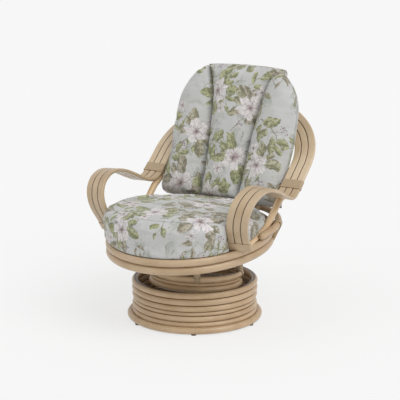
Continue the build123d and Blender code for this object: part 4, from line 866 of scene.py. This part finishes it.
def seat_profile(angle, top, side):
    """Outline of the cushion at one angle, from its top centre to under the middle."""
    above = [i for i, (r, h) in enumerate(side) if over_hoop(seat_point(r, h, angle)) > SEAT_ROLL]
    arc = side[:above[-1] + 1]
    lengths = np.concatenate([[0], np.cumsum(np.linalg.norm(np.diff(arc, axis=0), axis=1))])
    even = np.linspace(0, lengths[-1], SEAT_SIDE_STEPS)
    down = np.stack([np.interp(even, lengths, arc[:, k]) for k in (0, 1)], axis=1)
    upper = [seat_point(r, h, angle) for r, h in np.vstack([top[:-1], down])]
    foot = upper[-1]
    turns = np.linspace(0, math.pi / 2, SEAT_UNDER_STEPS)[1:]
    under = [foot - seat_out(angle) * (SEAT_ROLL * (1 - math.cos(turn)))
             - HOOP_NORMAL * (over_hoop(foot) * math.sin(turn)) for turn in turns]
    inner = seat_point(SEAT_PLUG_R, 0.0, angle)
    inner = inner - HOOP_NORMAL * over_hoop(inner)
    close = seat_point(SEAT_PLUG_R / 2, 0.0, angle)
    close = close - HOOP_NORMAL * (over_hoop(close) + SEAT_PLUG_DROP)
    plug = [inner - HOOP_NORMAL * drop for drop in (0.0, SEAT_PLUG_EDGE, SEAT_PLUG_DROP)]
    return upper + under + plug + [close]


def seat_cushion():
    """Round boxed cushion: domed top, seam round its shoulder, soft sides, pressed in by the arms."""
    top = smooth_path(SEAT_TOP_PROFILE, SEAT_STEP)
    side = smooth_path(SEAT_SIDE_PROFILE, SEAT_STEP / 2)
    angles = np.arange(SEAT_AROUND) * math.tau / SEAT_AROUND
    grid = np.array([seat_profile(a, top, side) for a in angles]).transpose(1, 0, 2)
    rings = grid.shape[0]
    seam = len(top) - 1
    run = np.zeros(grid.shape[:2])
    run[1:] = np.cumsum(np.linalg.norm(np.diff(grid, axis=0), axis=2), axis=0)
    uvs = np.stack([(run + top[0][0]) * np.sin(angles), -(run + top[0][0]) * np.cos(angles)], axis=2)

    # soft unevenness, puckers that die away from the seam, and the seam's own groove
    local = (grid - SEAT_CENTRE) @ np.array([SEAT_X, SEAT_Y, SEAT_Z]).T
    flat = np.linalg.norm(local[..., :2], axis=2, keepdims=True)
    radial = (local[..., :1] * SEAT_X + local[..., 1:2] * SEAT_Y) / np.maximum(flat, 1e-6)
    tilt = np.clip((flat - 0.20) / 0.11, 0, 1)
    away = run - run[seam]
    bumps = np.zeros(grid.shape[:2])
    for i, angle in enumerate(angles):
        c, s = math.cos(angle), math.sin(angle)
        pucker = rough(c * 16.0, s * 16.0, 0.3) + 0.6 * rough(c * 34.0, s * 34.0, 1.3)
        for ring in range(rings - 6):
            spot = grid[ring, i]
            bumps[ring, i] = sum(size * rough(*spot * scale) for size, scale in SEAT_UNEVEN)
            bumps[ring, i] += SEAT_PUCKER * pucker * math.exp(-abs(away[ring, i]) / SEAT_PUCKER_REACH)
            bumps[ring, i] -= SEAT_GROOVE * math.exp(-(away[ring, i] / SEAT_GROOVE) ** 2)
    grid = grid + (radial * tilt + SEAT_Z * (1 - tilt)) * bumps[..., None]
    ends = [grid[0].mean(axis=0) + SEAT_Z * 0.0001, grid[-1].mean(axis=0)]
    piece = make_cover("seat_cushion_cover", grid, ends, uvs, [(0.0, 0.0)] * 2,
                       np.abs(away) * SEAT_SEAM_SPREAD + SEAT_SEAM_LIGHT)
    pins = np.zeros((rings, SEAT_AROUND))
    pins[[seam - 1, seam, seam + 1]] = [[0.6], [1.0], [0.6]]
    pins[rings - 10:] = 1.0
    swell(piece, [*pins.ravel(), 0.0, 1.0], slack=0.012, cap=0.009)
    press_in(piece, rings)
    return piece


def press_in(piece, rings):
    """Moves the sides in where an arm, a post or the rail presses on them, softly all round."""
    trees = [search_tree(node) for node in SEAT_OBSTACLES]
    points = read_points(piece.data)
    grid = points[:rings * SEAT_AROUND].reshape(rings, SEAT_AROUND, 3)
    ways = [seat_out(angle) for angle in np.arange(SEAT_AROUND) * math.tau / SEAT_AROUND]
    push = np.zeros((rings, SEAT_AROUND))
    for ring in range(rings - 3):
        for i, way in enumerate(ways):
            spot = grid[ring, i]
            reach = float((spot - SEAT_CENTRE) @ way)
            if reach < PRESS_LEAST:
                continue
            start = spot - way * (reach - PRESS_FROM)
            limit = reach - PRESS_FROM + SEAT_CLEAR
            for tree in trees:
                distance = tree.ray_cast(Vector(start), Vector(way), limit)[3]
                if distance is not None:
                    push[ring, i] = max(push[ring, i], limit - distance)
    eased = push.copy()
    for _ in range(PRESS_EASING):
        eased = np.maximum(blurred(eased), push)
    grid[:rings - 3] -= np.array(ways) * eased[:rings - 3, :, None]
    points[:rings * SEAT_AROUND] = grid.reshape(-1, 3)
    write_points(piece, points)


SEAT = seat_cushion()
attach(SEAT, "rocker")
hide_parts("seat_cushion")

# ================================================================ back cushion
BACK_ORIGIN = Vector((0.0, 0.2395, 0.387))
FRAME_TOP_UP = 0.604
# Stations up the leaning back: distance up it, half width at the side seam, seam's distance from the
# middle, depth of the channels' crests, depth of the side seam, depth of the rear face.
BACK_STATIONS = (
    (0.0520, 0.281, 0.086, 0.030, 0.027, 0.0165),
    (0.0580, 0.285, 0.087, 0.053, 0.046, 0.0165),
    (0.0640, 0.285, 0.088, 0.078, 0.062, 0.0165),
    (0.0760, 0.285, 0.089, 0.097, 0.072, 0.0165),
    (0.1040, 0.284, 0.090, 0.106, 0.074, 0.0165),
    (0.1300, 0.283, 0.091, 0.108, 0.072, 0.0165),
    (0.1700, 0.283, 0.093, 0.106, 0.064, 0.0165),
    (0.2400, 0.286, 0.096, 0.100, 0.048, 0.0165),
    (0.3200, 0.291, 0.101, 0.100, 0.048, 0.0165),
    (0.4000, 0.289, 0.109, 0.099, 0.048, 0.0165),
    (0.4600, 0.284, 0.116, 0.098, 0.048, 0.0165),
    (0.5100, 0.270, 0.125, 0.097, 0.048, 0.0165),
    (0.5500, 0.249, 0.137, 0.095, 0.049, 0.0165),
    (0.5800, 0.226, 0.149, 0.092, 0.050, 0.0165),
    (0.6020, 0.203, 0.159, 0.086, 0.051, 0.0165),
    (0.6180, 0.186, 0.165, 0.076, 0.049, 0.0165),
    (0.6260, 0.176, 0.167, 0.060, 0.045, 0.0190),
    (0.6300, 0.168, 0.164, 0.047, 0.040, 0.0240),
)
CROWN_BOW = 0.006         # how much higher the middle of the top edge stands than its corners
CROWN_FROM = 0.54
BACK_SPACING = 0.0075
SEAM_DEPTH = 0.060
CHANNEL_FLATNESS = 2.8    # higher gives a channel a flatter middle
CHANNEL_EDGE = 0.52       # lower gives it a rounder, steeper edge
SEAM_FOLD, SEAM_FOLD_HALF = 0.012, 0.0050     # how far the cloth is drawn in along a seam, and how widely
SEAM_PUCKER, SEAM_PUCKER_REACH = 0.0028, 0.022
EDGE_PUCKER, EDGE_PUCKER_REACH = 0.0016, 0.018
EDGE_SEAM_SPREAD, EDGE_SEAM_LIGHT = 3.0, 0.0015     # the same for the side seams as for the seat's
SIDE_ROLL = 0.016
SIDE_STEPS, MIDDLE_STEPS, EDGE_STEPS, REAR_STEPS = 26, 30, 5, 30
LOW_RINGS = 5             # the rings nearest the seat, which the cloth may not swell
PRINT_MIDDLE = 0.9        # place of the back's middle line on the print


def back_point(x, up, depth):
    return BACK_ORIGIN + Vector((x, 0, 0)) + BACK_UP * up + BACK_FORWARD * depth


def crowned(up, share):
    """Distance up the back with the crown's bow, at a share of the half width from the middle."""
    return up + CROWN_BOW * max(0.0, up - CROWN_FROM) / (FRAME_TOP_UP - CROWN_FROM) * (1 - share ** 2)


def channel(start, end, crest, low, high, steps):
    """Section of a padded channel between two seams, from the first seam to just before the second."""
    shares = np.arange(steps) / steps
    arch = (1 - np.abs(2 * shares - 1) ** CHANNEL_FLATNESS) ** CHANNEL_EDGE
    bulge = min(crest - (low + high) / 2, 0.55 * (end - start))
    return [*zip(start + (end - start) * shares, low + (high - low) * shares + bulge * arch)]


def back_ring(station):
    """Section of the cushion across the back: three channels in front, rolled sides, flat rear."""
    up, half, seam, crest, edge, rear = station
    low = min(SEAM_DEPTH, crest * 0.80)
    ring = channel(-half, -seam, crest, edge, low, SIDE_STEPS)
    ring += channel(-seam, seam, crest, low, low, MIDDLE_STEPS)
    ring += channel(seam, half, crest, low, edge, SIDE_STEPS)
    turns = np.arange(EDGE_STEPS) / EDGE_STEPS * math.pi / 2
    roll = [(half - SIDE_ROLL * (1 - math.cos(turn)), edge - (edge - rear) * math.sin(turn))
            for turn in [*turns, math.pi / 2]]
    ring += roll[:-1]
    ring += [(x, rear) for x in (half - SIDE_ROLL) * (1 - 2 * np.arange(REAR_STEPS) / REAR_STEPS)]
    ring += [(-x, depth) for x, depth in roll[:0:-1]]
    return np.array([(x, crowned(up, x / half), depth) for x, depth in ring])


def back_cushion():
    """Tall cushion of three stuffed channels, narrowing to the corners of its hood."""
    grid = np.array([back_ring(station) for station in smooth_path(BACK_STATIONS, BACK_SPACING)])
    rings, count = grid.shape[:2]
    front = 2 * SIDE_STEPS + MIDDLE_STEPS
    seams = (SIDE_STEPS, SIDE_STEPS + MIDDLE_STEPS)
    around = np.zeros((rings, count))
    around[:, 1:] = np.cumsum(np.linalg.norm(np.diff(grid[..., [0, 2]], axis=1), axis=2), axis=1)
    around -= around[:, [SIDE_STEPS + MIDDLE_STEPS // 2]]
    uvs = np.stack([around + PRINT_MIDDLE, grid[..., 1] + 0.35], axis=2)
    depth = grid[..., 2].copy()
    gaps = np.full((rings, count), NO_SEAM)
    for ring in range(rings):
        for i in range(front + 1):
            x, up, _ = grid[ring, i]
            away = min(abs(x - grid[ring, seam, 0]) for seam in seams)
            from_edge = min(abs(x - grid[ring, edge, 0]) for edge in (0, front))
            gaps[ring, i] = min(away, from_edge * EDGE_SEAM_SPREAD + EDGE_SEAM_LIGHT)
            soft = 0.0030 * rough(x * 8, up * 6, 3.0) + 0.0013 * rough(x * 22, up * 18, 1.0)
            pucker = rough(round(x * 8), up * 30, 2.0) + 0.5 * rough(round(x * 8), up * 62, 5.0)
            depth[ring, i] += soft + SEAM_PUCKER * pucker * math.exp(-away / SEAM_PUCKER_REACH)
            depth[ring, i] += EDGE_PUCKER * pucker * math.exp(-from_edge / EDGE_PUCKER_REACH)
            depth[ring, i] -= SEAM_FOLD * math.exp(-(away / SEAM_FOLD_HALF) ** 2)
    grid[..., 2] = depth
    ends = [back_point(0.0, grid[0, 0, 1] - 0.002, 0.03), back_point(0.0, grid[-1, 0, 1] + 0.001, 0.035)]
    world = np.array([back_point(*spot) for spot in grid.reshape(-1, 3)]).reshape(rings, count, 3)
    piece = make_cover("back_cushion_cover", world, ends, uvs,
                       [(PRINT_MIDDLE, 0.44), (PRINT_MIDDLE, 0.98)], gaps)
    pins = np.zeros((rings, count))
    for seam in seams:
        pins[:, [seam - 1, seam, seam + 1]] = (0.5, 1.0, 0.5)
    pins[:, front:] = 1.0
    pins[:, 0] = 1.0
    pins[-4:] = 1.0
    pins[:LOW_RINGS] = 1.0
    swell(piece, [*pins.ravel(), 1.0, 1.0], slack=0.014, cap=0.008)
    return piece


# ---- hood: a pocket that goes over the frame's top bar and hangs behind it
HOOD_PATH = ((0.6150, 0.0600), (0.6290, 0.0470), (0.6360, 0.0250), (0.6365, 0.0020), (0.6310, -0.0160),
             (0.6160, -0.0240), (0.5850, -0.0255), (0.5480, -0.0250))
HOOD_STEP = 0.006
HOOD_WALL = 0.0032
HOOD_HALF = ((0.0, 0.168), (0.10, 0.176), (0.22, 0.180), (0.35, 0.176), (0.60, 0.170), (1.0, 0.166))
HOOD_ACROSS = 44
HOOD_PRINT_UP = 0.98
GUSSET_IN = 0.027         # the hood's side walls end inside the cushion's rear face
GUSSET_HALF = 0.1705


def hood():
    """Curved sheet with two faces, its middle higher than its pointed corners."""
    path = smooth_path(HOOD_PATH, HOOD_STEP)
    along = np.gradient(path, axis=0)
    along /= np.linalg.norm(along, axis=1, keepdims=True)
    inward = np.stack([along[:, 1], -along[:, 0]], axis=1)
    inward *= np.sign(((path.mean(axis=0) - path) * inward).sum(axis=1).mean())
    rows = len(path)
    half = np.interp(np.linspace(0, 1, rows), *zip(*HOOD_HALF))
    points, uvs = [], []
    for wall in (0.0, HOOD_WALL):
        for (up, deep), (step_up, step_deep), reach in zip(path, inward, half):
            for x in np.linspace(-1, 1, HOOD_ACROSS):
                soft = 0.0016 * rough(x * 5.0, up * 30.0, deep * 30.0)
                raised = crowned(up, x) + step_up * wall
                points.append(back_point(x * reach, raised, deep + step_deep * wall + soft))
                uvs.append((PRINT_MIDDLE + x * reach, HOOD_PRINT_UP + up - deep))
    outer = np.arange(rows * HOOD_ACROSS).reshape(rows, HOOD_ACROSS).tolist()
    inner = (np.array(outer) + rows * HOOD_ACROSS).tolist()
    faces = []
    for row in range(rows - 1):
        for i in range(HOOD_ACROSS - 1):
            faces.append((outer[row][i], outer[row][i + 1], outer[row + 1][i + 1], outer[row + 1][i]))
            faces.append((inner[row][i], inner[row + 1][i], inner[row + 1][i + 1], inner[row][i + 1]))
        for i in (0, HOOD_ACROSS - 1):
            faces.append((outer[row][i], outer[row + 1][i], inner[row + 1][i], inner[row][i]))
    for i in range(HOOD_ACROSS - 1):
        for row in (0, rows - 1):
            faces.append((outer[row][i], inner[row][i], inner[row][i + 1], outer[row][i + 1]))
    piece = make_piece("back_cushion_hood", points, faces, FLORAL, uvs, [NO_SEAM] * len(points))
    turn_outward(piece)
    shade(piece, rows * HOOD_ACROSS)
    return piece


def gusset(name, side):
    """Side wall that closes one end of the hood's pocket."""
    outline = [tuple(spot) for spot in smooth_path(HOOD_PATH, HOOD_STEP) if spot[1] < GUSSET_IN]
    low_up = outline[-1][0]
    outline += [(low_up, GUSSET_IN), ((low_up + outline[0][0]) / 2, GUSSET_IN)]
    points = [back_point(side * x, up, deep + HOOD_WALL * 0.4)
              for x in (GUSSET_HALF, GUSSET_HALF - HOOD_WALL) for up, deep in outline]
    count = len(outline)
    faces = ring_faces(2, count) + [tuple(range(count)), tuple(range(2 * count - 1, count - 1, -1))]
    uvs = [(0.3 + deep, HOOD_PRINT_UP + up) for up, deep in outline] * 2
    piece = make_piece(f"back_cushion_gusset_{name}", points, faces, FLORAL, uvs, [NO_SEAM] * len(points))
    turn_outward(piece)
    shade(piece, 0)
    return piece


BACK = back_cushion()
for cover in (BACK, hood(), *[gusset(name, side) for name, side in SIDES.items()]):
    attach(cover, "rocker")
    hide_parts("back_cushion")

# ================================================================ floor, light and camera
GROUND_SHADE = (0.925, 0.925, 0.925)
FLOOR_GLOW = 0.72         # share of the floor's look that is its own glow, so that shadows stay faint
FLOOR_HALF = 40.0
SKY_LIGHT = 0.62          # how brightly the surroundings light the chair, and how bright they look
SKY_SEEN = 0.94


def floor_material():
    """Pale floor that keeps a share of the light's shading."""
    nodes = Nodes("pale_floor")
    matt = nodes.get("ShaderNodeBsdfDiffuse", 0, {"Color": GROUND_SHADE})
    glow = nodes.get("ShaderNodeEmission", 0, {"Color": GROUND_SHADE})
    rays = nodes.add("ShaderNodeLightPath").outputs
    camera_ray, glossy_ray, sent_ray = (Value(nodes, rays[f"Is {kind} Ray"])
                                        for kind in ("Camera", "Glossy", "Transmission"))
    seen = nodes.math("MAXIMUM", nodes.math("MAXIMUM", camera_ray, glossy_ray), sent_ray)
    mixed = nodes.get("ShaderNodeMixShader", 0, {0: seen * FLOOR_GLOW, 1: matt, 2: glow})
    nodes.add("ShaderNodeOutputMaterial", {0: mixed})
    return nodes.material


corners = [(x * FLOOR_HALF, y * FLOOR_HALF, 0) for x, y in ((-1, -1), (1, -1), (1, 1), (-1, 1))]
floor = make_piece("floor", corners, [(0, 1, 2, 3)], floor_material())

world = bpy.data.worlds.new("studio")
bpy.context.scene.world = world
world.use_nodes = True
sky = world.node_tree.nodes["Background"]
sky.inputs["Color"].default_value = (1.0, 1.0, 1.0, 1.0)
sky_rays = world.node_tree.nodes.new("ShaderNodeLightPath")
sky_level = world.node_tree.nodes.new("ShaderNodeMapRange")
sky_level.inputs["To Min"].default_value = SKY_LIGHT
sky_level.inputs["To Max"].default_value = SKY_SEEN
world.node_tree.links.new(sky_rays.outputs["Is Camera Ray"], sky_level.inputs["Value"])
world.node_tree.links.new(sky_level.outputs[0], sky.inputs["Strength"])


def place(name, data, azimuth, elevation, aim=Vector(), distance=0.0):
    """Adds a lamp or camera that lies off its aim along an azimuth and elevation, and looks back at it."""
    turn, rise = math.radians(azimuth), math.radians(elevation)
    away = Vector((math.sin(turn) * math.cos(rise), -math.cos(turn) * math.cos(rise), math.sin(rise)))
    holder = bpy.data.objects.new(name, data)
    holder.location = aim + away * distance
    holder.rotation_euler = away.to_track_quat("Z", "Y").to_euler()
    bpy.context.scene.collection.objects.link(holder)
    return holder


for name, strength, softness, azimuth, elevation in (("key", 1.32, 45.0, 80.0, 50.0),
                                                     ("fill", 0.36, 60.0, -42.0, 48.0)):
    lamp = bpy.data.lights.new(name, "SUN")
    lamp.energy = strength
    lamp.angle = math.radians(softness)
    place(name, lamp, azimuth, elevation)

AZIMUTH, ELEVATION, DISTANCE = 30.7, 13.13, 6.0
FOCAL_SHARE = 1463.0 / 400.0      # focal length as a share of the frame's width
AIM_ASIDE, AIM_HEIGHT = 0.022, 0.4929
aside = Vector((math.cos(math.radians(AZIMUTH)), math.sin(math.radians(AZIMUTH)), 0.0)) * AIM_ASIDE
lens = bpy.data.cameras.new("camera")
lens.sensor_width = 36.0
lens.lens = lens.sensor_width * FOCAL_SHARE
aim = aside + Vector((0, 0, AIM_HEIGHT))
bpy.context.scene.camera = place("camera", lens, AZIMUTH, ELEVATION, aim, DISTANCE)
bpy.context.scene.view_settings.view_transform = "Standard"
